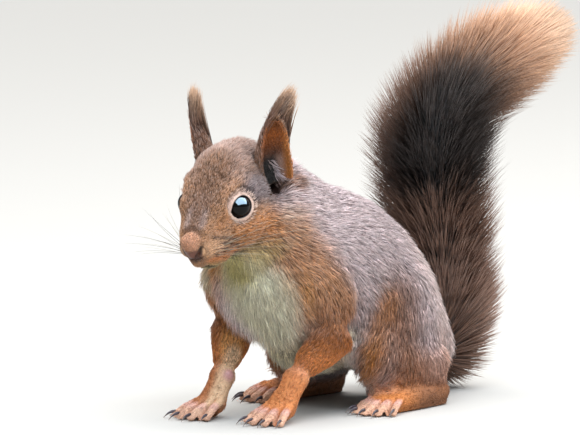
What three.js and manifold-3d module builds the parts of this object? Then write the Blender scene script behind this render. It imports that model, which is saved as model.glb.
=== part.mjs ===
// A red squirrel, life size, crouched on its four feet with its head up and its tail raised behind it.
// It is a still model: each named mesh is one part of the body, out to the tips of its coat.
//
// In millimetres: +X is the animal's left, +Y points to its tail, +Z is up, and the feet stand on Z = 0.
import * as THREE from "three";
import { mergeVertices } from "three/addons/utils/BufferGeometryUtils.js";
import Module from "manifold-3d";

const wasm = await Module();
wasm.setup();

// ---- Driving dimensions ----

const GAP = 0.35; // clearance left between two parts that meet
const HEAD_PITCH = 26; // degrees that the head is tipped, nose down
const HEAD_YAW = 12; // degrees that the head turns to the animal's left
const NOSE = [10.3, -56.2, 74.3]; // tip of the nose
const EYE_RADIUS = 5.2;
const EYE = { side: 12.0, back: 26.0, up: 5.4 }; // centre of an eyeball in the head's own frame
const EAR = { side: 14.5, back: 49, up: 7 }; // root of an ear in the head's own frame
// The way an ear's hollow side faces, drawn for the left ear, how far the wind bends its tuft, and how far the tuft leans in.
const EARS = {
  left: { faces: [0.78, -0.62, 0], blown: 1, lean: 0 },
  right: { faces: [0.55, -0.83, 0], blown: 0.25, lean: 1.6 },
};
const CLAW = 5.5; // length of a claw

const SIDES = { left: 1, right: -1 };

// ---- Solids ----

// The closed solid of a geometry, for joining and cutting.
function solidOf(geometry) {
  const bare = geometry.clone();
  bare.deleteAttribute("normal");
  bare.deleteAttribute("uv");
  const merged = mergeVertices(bare, 1e-4);
  return new wasm.Manifold(
    new wasm.Mesh({
      numProp: 3,
      vertProperties: new Float32Array(merged.attributes.position.array),
      triVerts: new Uint32Array(merged.index.array),
    }),
  );
}

function geometryOf(solid) {
  const mesh = solid.getMesh();
  const points = new Float32Array(mesh.numVert * 3);
  for (let i = 0; i < mesh.numVert; i++) {
    points.set(mesh.vertProperties.subarray(i * mesh.numProp, i * mesh.numProp + 3), i * 3);
  }
  const made = new THREE.BufferGeometry();
  made.setAttribute("position", new THREE.BufferAttribute(points, 3));
  made.setIndex(new THREE.BufferAttribute(mesh.triVerts, 1));
  made.computeVertexNormals();
  return made;
}

const join = (...solids) => solids.reduce((a, b) => a.add(b));
const cut = (solid, ...tools) => tools.reduce((a, b) => a.subtract(b), solid);

// Everything below the floor, which flattens the soles.
const belowFloor = solidOf(new THREE.BoxGeometry(600, 600, 60).translate(0, 0, -30));

// The share of its full width that a rounded end has at this share of the path.
function domeAt(share, length) {
  if (share >= length) return 1;
  const away = 1 - share / length;
  return Math.sqrt(Math.max(0.02, 1 - away * away));
}

// A body part as a closed tube. Each station is [x, y, z, half width, reach over, reach under] of one ring.
// A cylinder's rings are set along the smooth path through the stations, and shrink to a dome at each end
// over the shares of the length in dome. from and to pick out a length of the path, in shares of it.
// grow makes the tube bigger all round, for cutting a neighbour.
function tube(stations, options = {}) {
  const { sides = 16, steps = 10, dome = [0.2, 0.2], across = [1, 0, 0] } = options;
  const { grow = 0, from = 0, to = 1 } = options;
  const through = (first) => stations.map((station) => new THREE.Vector3(...station.slice(first, first + 3)));
  const path = new THREE.CatmullRomCurve3(through(0));
  const sizes = new THREE.CatmullRomCurve3(through(3));
  const sideways = new THREE.Vector3(...across);
  const roundness = Math.min(1, 2 * (dome[0] + dome[1]));
  const rings = new THREE.CylinderGeometry(1, 1, 1, sides, steps);
  const points = rings.attributes.position;
  for (let i = 0; i < points.count; i++) {
    const even = points.getY(i) + 0.5;
    const eased = (1 - Math.cos(Math.PI * even)) / 2; // rings stand closer in the domes
    const local = even + (eased - even) * roundness;
    const share = from + (to - from) * local;
    const along = path.getTangent(share);
    const side = sideways.clone().addScaledVector(along, -sideways.dot(along)).normalize();
    const over = new THREE.Vector3().crossVectors(side, along);
    const size = sizes.getPoint(share);
    const shrink = domeAt(local, dome[0]) * domeAt(1 - local, dome[1]);
    const end = local <= dome[0] ? -1 : local >= 1 - dome[1] ? 1 : 0;
    const reach = points.getZ(i) > 0 ? size.y : size.z;
    const placed = path
      .getPoint(share)
      .addScaledVector(side, points.getX(i) * (size.x * shrink + grow))
      .addScaledVector(over, points.getZ(i) * (reach * shrink + grow))
      .addScaledVector(along, end * grow);
    points.setXYZ(i, placed.x, placed.y, placed.z);
  }
  return solidOf(rings);
}

// An egg-shaped swelling, turned about X and then Z.
function swelling([x, y, z], [a, b, c], { turnX = 0, turnZ = 0, grow = 0, detail = [10, 6] } = {}) {
  const ball = new THREE.SphereGeometry(1, ...detail).scale(a + grow, b + grow, c + grow);
  ball.rotateX(THREE.MathUtils.degToRad(turnX)).rotateZ(THREE.MathUtils.degToRad(turnZ));
  return solidOf(ball.translate(x, y, z));
}

// ---- Head, built in its own frame: the nose at the origin, +Y back along the line to the ears ----

const headFrame = new THREE.Group();
headFrame.position.set(...NOSE);
headFrame.rotation.set(THREE.MathUtils.degToRad(HEAD_PITCH), 0, THREE.MathUtils.degToRad(HEAD_YAW), "ZYX");
headFrame.updateMatrix();
const inBody = (solid) => solid.transform(headFrame.matrix.elements);

// prettier-ignore
const SKULL = [
  [0, 0.6, -0.6, 3.6, 3.4, 4.4],
  [0, 3.5, -0.6, 5.6, 5.2, 9.8],
  [0, 9, 0.0, 8.6, 7.0, 14.6],
  [0, 16, 0.6, 11.6, 9.8, 17.6],
  [0, 24, 1.0, 14.8, 13.6, 19.8],
  [0, 33, 2.0, 17.2, 18.4, 21.5],
  [0, 43, 3.5, 18.6, 20.4, 23.0],
  [0, 53, 4.0, 18.4, 19.4, 21.5],
  [0, 62, 2.0, 15.0, 16.0, 17.0],
];

function head(grow = 0) {
  const skull = tube(SKULL, { sides: 16, steps: 10, dome: [0.08, 0.12], grow });
  const cheek = swelling([9.6, 33, -6], [9, 15, 11], { turnZ: -14, grow });
  const whiskerPad = swelling([4.8, 9.4, -5.8], [4.6, 7.4, 5.8], { turnZ: -20, grow, detail: [8, 5] });
  const side = join(cheek, whiskerPad);
  const chin = swelling([0, 9.5, -12.6], [4.8, 7, 3.5], { grow });
  return join(skull, side, side.mirror([1, 0, 0]), chin);
}

function eyeball(s, grow = 0) {
  const radius = EYE_RADIUS + grow;
  return solidOf(new THREE.SphereGeometry(radius, 12, 8).translate(s * EYE.side, EYE.back, EYE.up));
}

// The left ear, a tapering cup: a tall flattened egg that faces forwards and outwards, hollowed on that side.
function leftEar(across, grow = 0) {
  const [x, y, z] = [EAR.side, EAR.back, EAR.up];
  // prettier-ignore
  const shell = tube([
    [x - 1.0, y - 0.5, z - 7.0, 5.0, 8.0, 7.0],
    [x, y, z, 5.0, 8.8, 7.8],
    [x + 2.2, y + 1.0, z + 8.0, 4.4, 8.4, 7.6],
    [x + 4.2, y + 3.0, z + 16.0, 3.4, 6.8, 6.2],
    [x + 5.2, y + 5.0, z + 22.5, 2.6, 4.4, 4.2],
  ], { sides: 10, steps: 6, dome: [0, 0.3], across, grow });
  // prettier-ignore
  const hollow = tube([
    [x + 2.6, y - 3.6, z - 4.0, 2.6, 4.0, 4.0],
    [x + 3.2, y - 2.8, z + 1.0, 3.6, 5.4, 5.6],
    [x + 5.4, y - 1.8, z + 9.0, 3.8, 6.0, 6.2],
    [x + 7.2, y + 0.4, z + 16.5, 3.0, 4.4, 4.4],
    [x + 7.8, y + 2.4, z + 20.5, 1.8, 2.6, 2.6],
  ], { sides: 8, steps: 5, dome: [0.3, 0.3], across, grow: -grow });
  return cut(shell, hollow);
}

// The brush of long hairs that stands on the tip of an ear. The left one blows back.
function leftTuft({ faces, blown, lean }, grow = 0) {
  const [x, y, z] = [EAR.side + 5, EAR.back + 5, EAR.up + 20];
  // prettier-ignore
  return tube([
    [x - 0.8, y + 0.6, z - 6, 3.0, 5.2, 4.2],
    [x - 0.3 * lean + 0.5 * blown, y + 1.2 + 2.0 * blown, z + 1, 3.2, 5.8, 5.0],
    [x - lean + 1.5 * blown, y + 2.0 + 7.0 * blown, z + 7 - blown, 3.0, 5.4, 5.0],
    [x - lean + 3.5 * blown, y + 2.6 + 13.5 * blown, z + 14 - 5 * blown, 2.0, 3.4, 3.4],
  ], { sides: 8, steps: 5, dome: [0.15, 0.2], across: faces, grow });
}

// ---- Trunk and neck ----

// prettier-ignore
const TRUNK = [
  [8.5, -18, 53, 18, 20, 20],
  [5.5, -5, 56, 27, 30, 27],
  [4.0, 12, 61, 29, 32, 32],
  [2.5, 30, 61, 29.5, 35.5, 36],
  [1.0, 50, 54, 31, 34, 37],
  [0.0, 68, 43, 31.5, 29, 33],
  [0.0, 82, 31, 29, 20, 27],
  [0.0, 95, 20, 24, 13, 18],
  [0.0, 103, 13, 17, 9, 12],
];

function trunk(grow = 0) {
  const barrel = tube(TRUNK, { sides: 20, steps: 13, dome: [0.07, 0.08], grow });
  const belly = swelling([3, 28, 31], [21, 24, 17], { grow, detail: [12, 6] }); // it sags between elbows and thighs
  return join(barrel, belly);
}

function neck(grow = 0) {
  // prettier-ignore
  return tube([
    [8, -26, 84, 14, 12, 17],
    [6, -13, 82, 20, 28, 24],
    [5, 3, 78, 24.5, 33.5, 27],
    [4, 19, 69, 26, 32.5, 27],
  ], { sides: 12, steps: 4, dome: [0.25, 0.25], grow });
}

// ---- Legs ----

const between = (a, b) => a.map((v, i) => (v + b[i]) / 2);

// A toe with its claw: it rises from the knuckle over its middle joint and comes down on its pad.
function toe([x, y, z], reach, turn, thick) {
  const angle = THREE.MathUtils.degToRad(turn);
  const [dx, dy] = [Math.sin(angle), -Math.cos(angle)];
  const at = (forward, height) => [x + dx * forward, y + dy * forward, height];
  const flesh = tube(
    [
      [...at(-0.25 * reach, z), thick, thick, thick],
      [...at(0.2 * reach, z + 0.6), thick, thick, thick],
      [...at(0.66 * reach, thick * 0.95), thick, thick, thick],
      [...at(reach, thick * 0.5), thick, thick, thick],
    ],
    { sides: 5, steps: 4, dome: [0.1, 0.2], across: [-dy, dx, 0] },
  );
  const nail = reach - 2;
  const claw = tube(
    [
      [...at(nail, thick * 1.1), 0.7, 1.0, 1.0],
      [...at(nail + CLAW, 0.35), 0.25, 0.3, 0.3],
    ],
    { sides: 3, steps: 1, dome: [0, 0], across: [dy, -dx, 0] },
  );
  return join(flesh, claw);
}

// Where each foreleg's joints are. The left leg is bent further than the right.
const FORELEGS = {
  left: { shoulder: [26, 6, 60], elbow: [28, 19, 38], wrist: [22, -3, 20], palm: [20, -11, 8], turn: 4 },
  right: { shoulder: [-18, -3, 60], elbow: [-19, 4, 38], wrist: [-13, -9, 19], palm: [-13, -17, 7], turn: -6 },
};

function upperArm(name, grow = 0) {
  const { shoulder, elbow } = FORELEGS[name];
  const [x, y, z] = shoulder;
  const [mx, my, mz] = between(shoulder, elbow);
  return tube(
    [
      [x - SIDES[name] * 5, y - 4, z + 13, 7, 11, 11],
      [x, y, z, 9.5, 15, 14],
      [mx, my + 1, mz, 10, 14, 13],
      [...elbow, 9.5, 11, 12],
    ],
    { sides: 12, steps: 5, dome: [0.3, 0.3], grow },
  );
}

function forearm(name, grow = 0) {
  const { elbow, wrist } = FORELEGS[name];
  const [x, y, z] = elbow;
  return tube(
    [
      [x, y + 1, z + 2, 9.5, 12, 12],
      [...between(elbow, wrist), 8, 10, 9],
      [...wrist, 5.4, 5.4, 5.4],
    ],
    { sides: 10, steps: 4, dome: [0.2, 0.1], grow },
  );
}

function forepaw(name, grow = 0) {
  const { wrist, palm, turn } = FORELEGS[name];
  const [wx, wy, wz] = wrist;
  const [px, py, pz] = palm;
  const hand = tube(
    [
      [wx, wy + 2, wz + 2, 4.6, 4.2, 4.2],
      [wx, wy - 2.5, wz - 4.5, 5.4, 4.2, 4.6],
      [px, py, pz, 7.2, 3.9, pz + 0.6],
      [px, py - 4, pz - 1.6, 7.2, 3.0, pz - 1],
    ],
    { sides: 10, steps: 5, dome: [0.1, 0.15], across: [-1, 0, 0], grow },
  );
  const toes = [-1.5, -0.5, 0.5, 1.5].map((k) => {
    const reach = Math.abs(k) < 1 ? 15 : 13;
    return toe([px + k * 4, py - 2.5 + Math.abs(k) * 1.2, 6.4], reach, turn + k * 11, 2.35);
  });
  return cut(join(hand, ...toes), belowFloor);
}

// The two hind legs are alike: folded flat, with the haunch over the foot.
const HAUNCH = [20.5, 60, 38];
const HEEL = [29, 82, 6.2];
const BALL = [31, 44, 5.2]; // of the hind foot

function leftThigh(grow = 0) {
  const [x, y, z] = HAUNCH;
  return join(
    swelling(HAUNCH, [16, 26, 33], { turnX: 20, grow, detail: [12, 8] }),
    swelling([x + 3.5, y - 7, z - 14], [13, 23, 20], { grow, detail: [10, 6] }),
  );
}

function leftShank(grow = 0) {
  const [x, y] = HEEL;
  // prettier-ignore
  return tube([
    [x - 4, y - 34, 22, 10, 12, 12],
    [x - 3, y - 14, 18, 11, 14, 13],
    [x - 2, y, 14, 10, 13, 11],
  ], { sides: 10, steps: 5, dome: [0.25, 0.2], grow });
}

function leftHindFoot(grow = 0) {
  const [x, y, z] = HEEL;
  const [bx, by, bz] = BALL;
  const sole = tube(
    [
      [x, y + 3, z, 4.8, 5.5, 7.2],
      [x, y - 8, z, 6.0, 6.0, 7.4],
      [...between(HEEL, BALL), 6.8, 5.4, 7.2],
      [bx, by, bz, 8.4, 4.4, 6.2],
      [bx, by - 5, bz - 0.8, 8.0, 3.2, 5.4],
    ],
    { sides: 10, steps: 6, dome: [0.08, 0.08], across: [-1, 0, 0], grow },
  );
  const toes = [-2, -1, 0, 1, 2].map((k) => {
    const reach = Math.abs(k) < 2 ? 16 : 12.5;
    return toe([bx + k * 3.7, by - 3 + Math.abs(k) * 1.4, 6.0], reach, 4 + k * 8, 2.3);
  });
  return cut(join(sole, ...toes), belowFloor);
}

// ---- Tail ----

// The outline of the brushed-out hair, not the thin tail inside it.
// prettier-ignore
const TAIL = [
  [0, 98, 12, 18, 14, 14],
  [-4, 116, 17, 26, 22, 24],
  [-8, 123, 44, 30, 23, 25],
  [-8, 120, 68, 31.5, 23, 25],
  [-5, 112, 89, 33, 23, 26],
  [-2, 110, 108, 32, 24, 25],
  [0, 118, 123, 29, 25, 22],
  [2, 136, 133, 27, 26, 19],
  [3, 157, 141, 24, 23, 16],
  [3, 172, 147, 17, 15, 12],
  [3, 183, 151, 9, 8, 7],
];
const TAIL_PARTS = ["tail_root", "tail_lower", "tail_middle", "tail_bend", "tail_tip"];

function tailLength(index, grow = 0) {
  const count = TAIL_PARTS.length;
  const dome = [index === 0 ? 0.12 : 0, index === count - 1 ? 0.3 : 0];
  const [from, to] = [index / count, (index + 1) / count];
  return cut(tube(TAIL, { sides: 14, steps: 4, dome, grow, from, to }), belowFloor);
}

// ---- Fitting the parts together ----

// Every part as a function of how much it is grown: a part gives way to the ones before it.
const makers = [];
const mirrored = (solid, s) => (s > 0 ? solid : solid.mirror([1, 0, 0]));
for (const [name, s] of Object.entries(SIDES)) {
  makers.push([`eye_${name}`, (grow) => inBody(eyeball(s, grow))]);
}
makers.push(["head", (grow) => inBody(head(grow))]);
for (const [name, s] of Object.entries(SIDES)) {
  const ear = EARS[name];
  makers.push([`ear_${name}`, (grow) => inBody(mirrored(leftEar(ear.faces, grow), s))]);
  makers.push([`ear_tuft_${name}`, (grow) => inBody(mirrored(leftTuft(ear, grow), s))]);
}
makers.push(["trunk", trunk], ["neck", neck]);
for (const [name, s] of Object.entries(SIDES)) {
  makers.push([`thigh_${name}`, (grow) => mirrored(leftThigh(grow), s)]);
  makers.push([`shank_${name}`, (grow) => mirrored(leftShank(grow), s)]);
  makers.push([`hind_foot_${name}`, (grow) => mirrored(leftHindFoot(grow), s)]);
  makers.push([`upper_arm_${name}`, (grow) => upperArm(name, grow)]);
  makers.push([`forearm_${name}`, (grow) => forearm(name, grow)]);
  makers.push([`forepaw_${name}`, (grow) => forepaw(name, grow)]);
}
TAIL_PARTS.forEach((name, i) => makers.push([name, (grow) => tailLength(i, grow)]));

const solids = {};
const before = [];
for (const [name, make] of makers) {
  const pieces = cut(make(0), ...before).decompose();
  solids[name] = pieces.sort((a, b) => b.volume() - a.volume())[0]; // loose slivers are dropped
  before.push(make(GAP));
}

// ---- The animal: its body, and the head as a group with a frame of its own ----

const COAT = {
  trunk: "#a08272",
  head: "#8c6648",
  neck: "#9c8072",
  ear: "#70573f",
  ear_tuft: "#7a5c46",
  eye: "#120d0b",
  upper_arm: "#80603f",
  forearm: "#9a6236",
  forepaw: "#b57c52",
  thigh: "#7b5a3c",
  shank: "#8a6038",
  hind_foot: "#b07a50",
  tail: "#8a6852",
};

// The colour whose name is the longest start of the part's name.
function colourOf(name) {
  const [key] = Object.keys(COAT)
    .filter((start) => name.startsWith(start))
    .sort((a, b) => b.length - a.length);
  return COAT[key];
}

function meshOf(name, solid) {
  const roughness = name.startsWith("eye") ? 0.08 : 0.9;
  const material = new THREE.MeshStandardMaterial({ color: colourOf(name), roughness, metalness: 0 });
  const mesh = new THREE.Mesh(geometryOf(solid), material);
  mesh.name = name;
  return mesh;
}

const body = new THREE.Group();
body.add(headFrame);
const toHead = headFrame.matrix.clone().invert();
for (const [name, solid] of Object.entries(solids)) {
  const mesh = meshOf(name, solid);
  const onHead = /^(head|eye|ear)/.test(name);
  if (onHead) mesh.geometry.applyMatrix4(toHead);
  (onHead ? headFrame : body).add(mesh);
}

// The origin is on the floor, under the middle of the whole animal.
const box = new THREE.Box3().setFromObject(body, true);
const middle = box.getCenter(new THREE.Vector3());
body.position.set(-middle.x, -middle.y, -box.min.z);

const squirrel = new THREE.Group();
squirrel.add(body);

export default squirrel;
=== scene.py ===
# %% [markdown]
# # A red squirrel, life size
#
# A museum-type model of a red squirrel, crouched with its head up and its tail raised behind it. The solids of the
# frame give its true outline, out to the tips of the coat. This script gives it one skin a little inside them, eyes,
# claws and whiskers, and a coat of some two hundred thousand separate locks of hair.
#
# Everything is in metres in the frame's own axes: +X is the animal's left, +Y points to its tail, +Z is up. Sizes are
# written in millimetres and turned to metres where a mesh is made.

# %% Load the frame
import math

import bmesh
import bpy
import numpy as np
from mathutils import Matrix, Vector
from mathutils.bvhtree import BVHTree
from mathutils.kdtree import KDTree


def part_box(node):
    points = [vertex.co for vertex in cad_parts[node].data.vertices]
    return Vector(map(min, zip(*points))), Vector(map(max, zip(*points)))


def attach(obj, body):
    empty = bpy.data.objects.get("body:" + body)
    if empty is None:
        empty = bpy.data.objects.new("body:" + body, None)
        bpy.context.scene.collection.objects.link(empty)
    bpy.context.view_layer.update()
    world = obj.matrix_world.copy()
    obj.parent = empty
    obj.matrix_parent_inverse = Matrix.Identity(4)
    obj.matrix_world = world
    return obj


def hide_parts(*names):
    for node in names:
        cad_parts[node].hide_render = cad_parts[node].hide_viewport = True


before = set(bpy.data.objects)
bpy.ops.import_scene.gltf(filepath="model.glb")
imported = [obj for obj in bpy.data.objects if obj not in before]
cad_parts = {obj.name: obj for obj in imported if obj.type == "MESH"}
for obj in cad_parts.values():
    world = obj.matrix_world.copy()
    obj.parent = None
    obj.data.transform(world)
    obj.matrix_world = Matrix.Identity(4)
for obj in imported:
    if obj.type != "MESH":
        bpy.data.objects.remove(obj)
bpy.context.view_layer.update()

MM = 0.001

# %% [markdown]
# ## Camera
#
# An animal is best seen from its own height and from far off, as through a long lens, so that the near paw isn't
# swollen by perspective. The camera leaves room to the left for the whiskers and lets the tail reach the top corner.
# Its aim is given from the left eye, which is what one looks at.

# %% Camera
def centre(node):
    low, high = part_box(node)
    return (low + high) / 2


def way_to(azimuth, elevation):
    """The way from the model to an azimuth, 0 in front of it, and an elevation, in degrees."""
    a, e = math.radians(azimuth), math.radians(elevation)
    return Vector((math.sin(a) * math.cos(e), -math.cos(a) * math.cos(e), math.sin(e)))


AZIMUTH, ELEVATION = 42, 6
DISTANCE, FIELD, SENSOR = 3.0, 0.2377, 36.0
aim = centre("eye_left") + Vector((-9.2, 40.9, -8.4)) * MM
toward_camera = way_to(AZIMUTH, ELEVATION)
lens = bpy.data.cameras.new("camera")
lens.sensor_width = SENSOR
lens.lens = SENSOR * DISTANCE / FIELD
camera = bpy.data.objects.new("camera", lens)
camera.location = aim + DISTANCE * toward_camera
camera.rotation_euler = toward_camera.to_track_quat("Z", "Y").to_euler()
bpy.context.scene.collection.objects.link(camera)
bpy.context.scene.camera = camera
print("camera", [round(v, 3) for v in camera.location], "lens", round(lens.lens))

# %% [markdown]
# ## Materials in plain sums
#
# A material is a graph of nodes. Written out link by link it is hard to read, so one small class wraps a node's
# output: `1 - mask` then adds a Math node and gives the next output. Any other node comes from its `node` method.

# %% A wire between nodes
class Wire:
    """The output of a shader node, which sums can be written with."""

    def __init__(self, tree, socket=None):
        self.tree, self.socket = tree, socket

    def node(self, kind, settings=None, values=None, out=0):
        """Adds a node: its settings come first, then what goes into its sockets."""
        made = self.tree.nodes.new("ShaderNode" + kind)
        for name, value in (settings or {}).items():
            if name == "stops":
                ramp = made.color_ramp
                ramp.elements.remove(ramp.elements[1])
                for i, (at, colour) in enumerate(value):
                    stop = ramp.elements.new(at) if i else ramp.elements[0]
                    stop.position, stop.color = at, colour
            else:
                setattr(made, name, value)
        for name, value in (values or {}).items():
            if isinstance(value, Wire):
                self.tree.links.new(value.socket, made.inputs[name])
            else:
                made.inputs[name].default_value = value
        return Wire(self.tree, made.outputs[out] if len(made.outputs) else None)

    def maths(self, operation, a, b):
        return self.node("Math", {"operation": operation}, {0: a, 1: b})

    def __add__(self, other):
        return self.maths("ADD", self, other)

    def __sub__(self, other):
        return self.maths("SUBTRACT", self, other)

    def __rsub__(self, other):
        return self.maths("SUBTRACT", other, self)

    def __mul__(self, other):
        return self.maths("MULTIPLY", self, other)

    __radd__ = __add__
    __rmul__ = __mul__

    def mixed(self, a, b):
        """Colour a where this is 0, and b where it is 1."""
        return self.node("Mix", {"data_type": "RGBA"}, {0: self, 6: a, 7: b}, out=2)

    def times(self, colour):
        """This colour multiplied by another one."""
        settings = {"data_type": "RGBA", "blend_type": "MULTIPLY"}
        return self.node("Mix", settings, {0: 1.0, 6: self, 7: colour}, out=2)


def material(name, paint):
    """A material whose shader takes what paint(wire) gives for its sockets."""
    made = bpy.data.materials.new(name)
    made.use_nodes = True
    made.node_tree.nodes.clear()
    start = Wire(made.node_tree)
    shader = start.node("BsdfPrincipled", {}, paint(start))
    start.node("OutputMaterial", {}, {"Surface": shader})
    return made


def linear(*srgb):
    """A colour picked on a screen, 0 to 255, as the light that it stands for."""
    c = np.asarray(srgb, float) / 255
    return np.where(c <= 0.04045, c / 12.92, ((c + 0.055) / 1.055) ** 2.4)


def rgba(*srgb):
    return (*linear(*srgb), 1.0)


# %% [markdown]
# ## Floor and light
#
# The model stands on a plain pale floor. Daylight under cloud comes from a whole sky and not from a lamp, so the light
# is a broad sun as soft as a bright cloud, a large soft box high up before the animal, a strip behind for the rim of
# pale hairs, and a pale sky all round. The window in its eyes comes from a box of their own, set up with the eyes.

# %% Floor
def stage_floor(size=16.0):
    bm = bmesh.new()
    bmesh.ops.create_grid(bm, x_segments=8, y_segments=8, size=size / 2)
    mesh = bpy.data.meshes.new("floor")
    bm.to_mesh(mesh)
    bm.free()
    floor = bpy.data.objects.new("floor", mesh)
    bpy.context.scene.collection.objects.link(floor)

    def paper(wire):
        where = wire.node("TexCoord", out=3)
        speckle = wire.node("TexNoise", {}, {"Vector": where, "Scale": 900.0})
        return {
            "Base Color": (speckle * 0.5 + 0.25).mixed(rgba(184, 182, 178), rgba(192, 190, 186)),
            "Roughness": 0.85,
            "Specular IOR Level": 0.2,
        }

    mesh.materials.append(material("paper", paper))
    return floor


stage_floor()

# %% Lights
def soft_box(name, azimuth, elevation, distance, size, power, colour):
    """An area light that looks at the aim from an azimuth and elevation in degrees."""
    data = bpy.data.lights.new(name, "AREA")
    data.shape, data.size, data.size_y = "RECTANGLE", *size
    data.energy, data.color = power, colour
    light = bpy.data.objects.new(name, data)
    way = way_to(azimuth, elevation)
    light.location = aim + way * distance
    light.rotation_euler = way.to_track_quat("Z", "Y").to_euler()
    bpy.context.scene.collection.objects.link(light)
    return light


cloud = bpy.data.lights.new("cloud", "SUN")
cloud.angle, cloud.energy, cloud.color = math.radians(60), 3.5, (1.0, 0.985, 0.965)
cloud_light = bpy.data.objects.new("cloud", cloud)
cloud_light.rotation_euler = (math.radians(-14), math.radians(-12), 0)
bpy.context.scene.collection.objects.link(cloud_light)
soft_box("window_box", 56, 52, 1.4, (1.5, 1.0), 25, (0.84, 0.92, 1.0))
soft_box("rim_box", 148, 42, 1.6, (1.2, 0.8), 16, (1.0, 0.98, 0.96))
world = bpy.data.worlds.new("sky")
world.use_nodes = True
world.node_tree.nodes["Background"].inputs["Color"].default_value = (0.86, 0.93, 1.0, 1.0)
world.node_tree.nodes["Background"].inputs["Strength"].default_value = 0.45
bpy.context.scene.world = world
bpy.context.scene.view_settings.view_transform = "Standard"

# %% [markdown]
# ## The head's own frame
#
# A face is far easier to work on in the head's own axes: the tip of the nose is the origin, x goes to the animal's
# left, y straight back and z up. The line between the two eyes says which way the head turns. It is tipped nose down
# by 26 degrees.

# %% The head's frame
HEAD_PITCH = math.radians(26)
EYE_BACK, EYE_UP, EYE_RADIUS = 26.0, 5.4, 5.2
between_eyes = (centre("eye_left") + centre("eye_right")) / 2
eye_line = centre("eye_left") - centre("eye_right")
EYE_SIDE = eye_line.length / 2 / MM
head_turn = Matrix.Rotation(math.atan2(eye_line.y, eye_line.x), 3, "Z") @ Matrix.Rotation(HEAD_PITCH, 3, "X")
TURN = np.array(head_turn)
NOSE = np.array(between_eyes / MM - head_turn @ Vector((0, EYE_BACK, EYE_UP)))


def from_head(points):
    return np.asarray(points, float) @ TURN.T + NOSE


def to_head(points):
    return (np.asarray(points, float) - NOSE) @ TURN


print("nose at", NOSE.round(1), "eyes", round(EYE_SIDE, 1), "mm to each side")

# %% [markdown]
# ## Small tools for numbers
#
# The rest works on whole arrays of points at once, in millimetres.

# %% Tools for arrays of points
def unit(v):
    return v / np.maximum(np.linalg.norm(v, axis=-1, keepdims=True), 1e-9)


def smooth_step(low, high, x):
    t = np.clip((x - low) / (high - low), 0, 1)
    return t * t * (3 - 2 * t)


def to_segment(points, a, b):
    """(distance of each point from the line a to b, how far along it that is from 0 to 1)"""
    a, b = np.asarray(a, float), np.asarray(b, float)
    t = np.clip((points - a) @ (b - a) / max((b - a) @ (b - a), 1e-9), 0, 1)
    return np.linalg.norm(points - (a + t[:, None] * (b - a)), axis=1), t


def to_path(points, path):
    return np.min([to_segment(points, a, b)[0] for a, b in zip(path, path[1:])], axis=0)


def add_piece(name, mesh, finish, nodes=()):
    """A mesh as a piece of the model, which rides on the frame and stands for some of its nodes."""
    mesh.materials.append(finish)
    piece = bpy.data.objects.new(name, mesh)
    bpy.context.scene.collection.objects.link(piece)
    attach(piece, "root")
    if nodes:
        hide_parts(*nodes)
    print(f"{name}: {len(mesh.polygons)} faces")
    return piece


# %% [markdown]
# ## The flesh
#
# Under the coat the animal is one smooth body. The solids of the frame are copied, their doubled points merged, and
# each is swollen a hair's breadth so that it bites into its neighbours. The tail's solids are left out: what fills
# them is hair, and its flesh is a thin tapering rod. A voxel remesh then melts all of it into one closed skin.

# %% A rod through rings
def ring(bm, at, across, up, sides):
    """A circle squeezed to two half axes and set at a point; returns its edges."""
    made = bmesh.ops.create_circle(bm, segments=sides, radius=1.0)["verts"]
    place = Matrix.Translation(at)
    for i, axis in enumerate((across, up, Vector(across).cross(Vector(up)).normalized())):
        for j in range(3):
            place[j][i] = axis[j]
    bmesh.ops.transform(bm, matrix=place, verts=made)
    return list({e for v in made for e in v.link_edges})


def rod(bm, rings, sides):
    """A closed rod through rings of (centre, half axis across, half axis up)."""
    loops = [ring(bm, Vector(c), Vector(a), Vector(u), sides) for c, a, u in rings]
    for one, two in zip(loops, loops[1:]):
        bmesh.ops.bridge_loops(bm, edges=one + two)
    bmesh.ops.holes_fill(bm, edges=loops[0] + loops[-1], sides=sides)
    bmesh.ops.recalc_face_normals(bm, faces=bm.faces)


TAIL_LINE = np.array(
    [
        (0, 30, 14), (-4, 50, 15), (-8, 59, 28), (-8, 59, 46), (-8, 56, 68), (-5, 49, 89), (-2, 47, 107),
        (0, 55, 122), (2, 72, 132), (3, 90, 140), (3, 101, 144.5),
    ],
    float,
)
TAIL_RADIUS = (8.0, 7.0, 6.4, 6.0, 5.6, 5.2, 4.8, 4.4, 3.8, 3.0, 2.2)


def eased(stations, count):
    """Stations of a path, as count points of one smooth curve through them."""
    stations = np.asarray(stations, float)
    steps = np.linspace(0, len(stations) - 1, count)
    k = np.clip(steps.astype(int), 0, len(stations) - 2)
    t = (steps - k)[:, None]
    before, after = stations[np.maximum(k - 1, 0)], stations[np.minimum(k + 2, len(stations) - 1)]
    a, b = stations[k], stations[k + 1]
    square, cube = 2 * before - 5 * a + 4 * b - after, 3 * a - before - 3 * b + after
    return 0.5 * (2 * a + (b - before) * t + square * t**2 + cube * t**3)


TAIL = eased(TAIL_LINE, 61)


def tail_rings():
    along = unit(np.gradient(TAIL, axis=0))
    across = unit(np.cross(np.cross(along, (1, 0, 0)), along))
    up = np.cross(along, across)
    thick = eased(np.array(TAIL_RADIUS)[:, None], len(TAIL))
    for c, a, u, r in zip(TAIL, across, up, thick):
        yield c * MM, a * r * MM, u * r * MM


# %% Melt the parts into one skin
OVERLAP, VOXEL = 0.3, 0.9
FLESH = [n for n in sorted(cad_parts) if not n.startswith(("eye", "tail", "ear"))]


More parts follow.
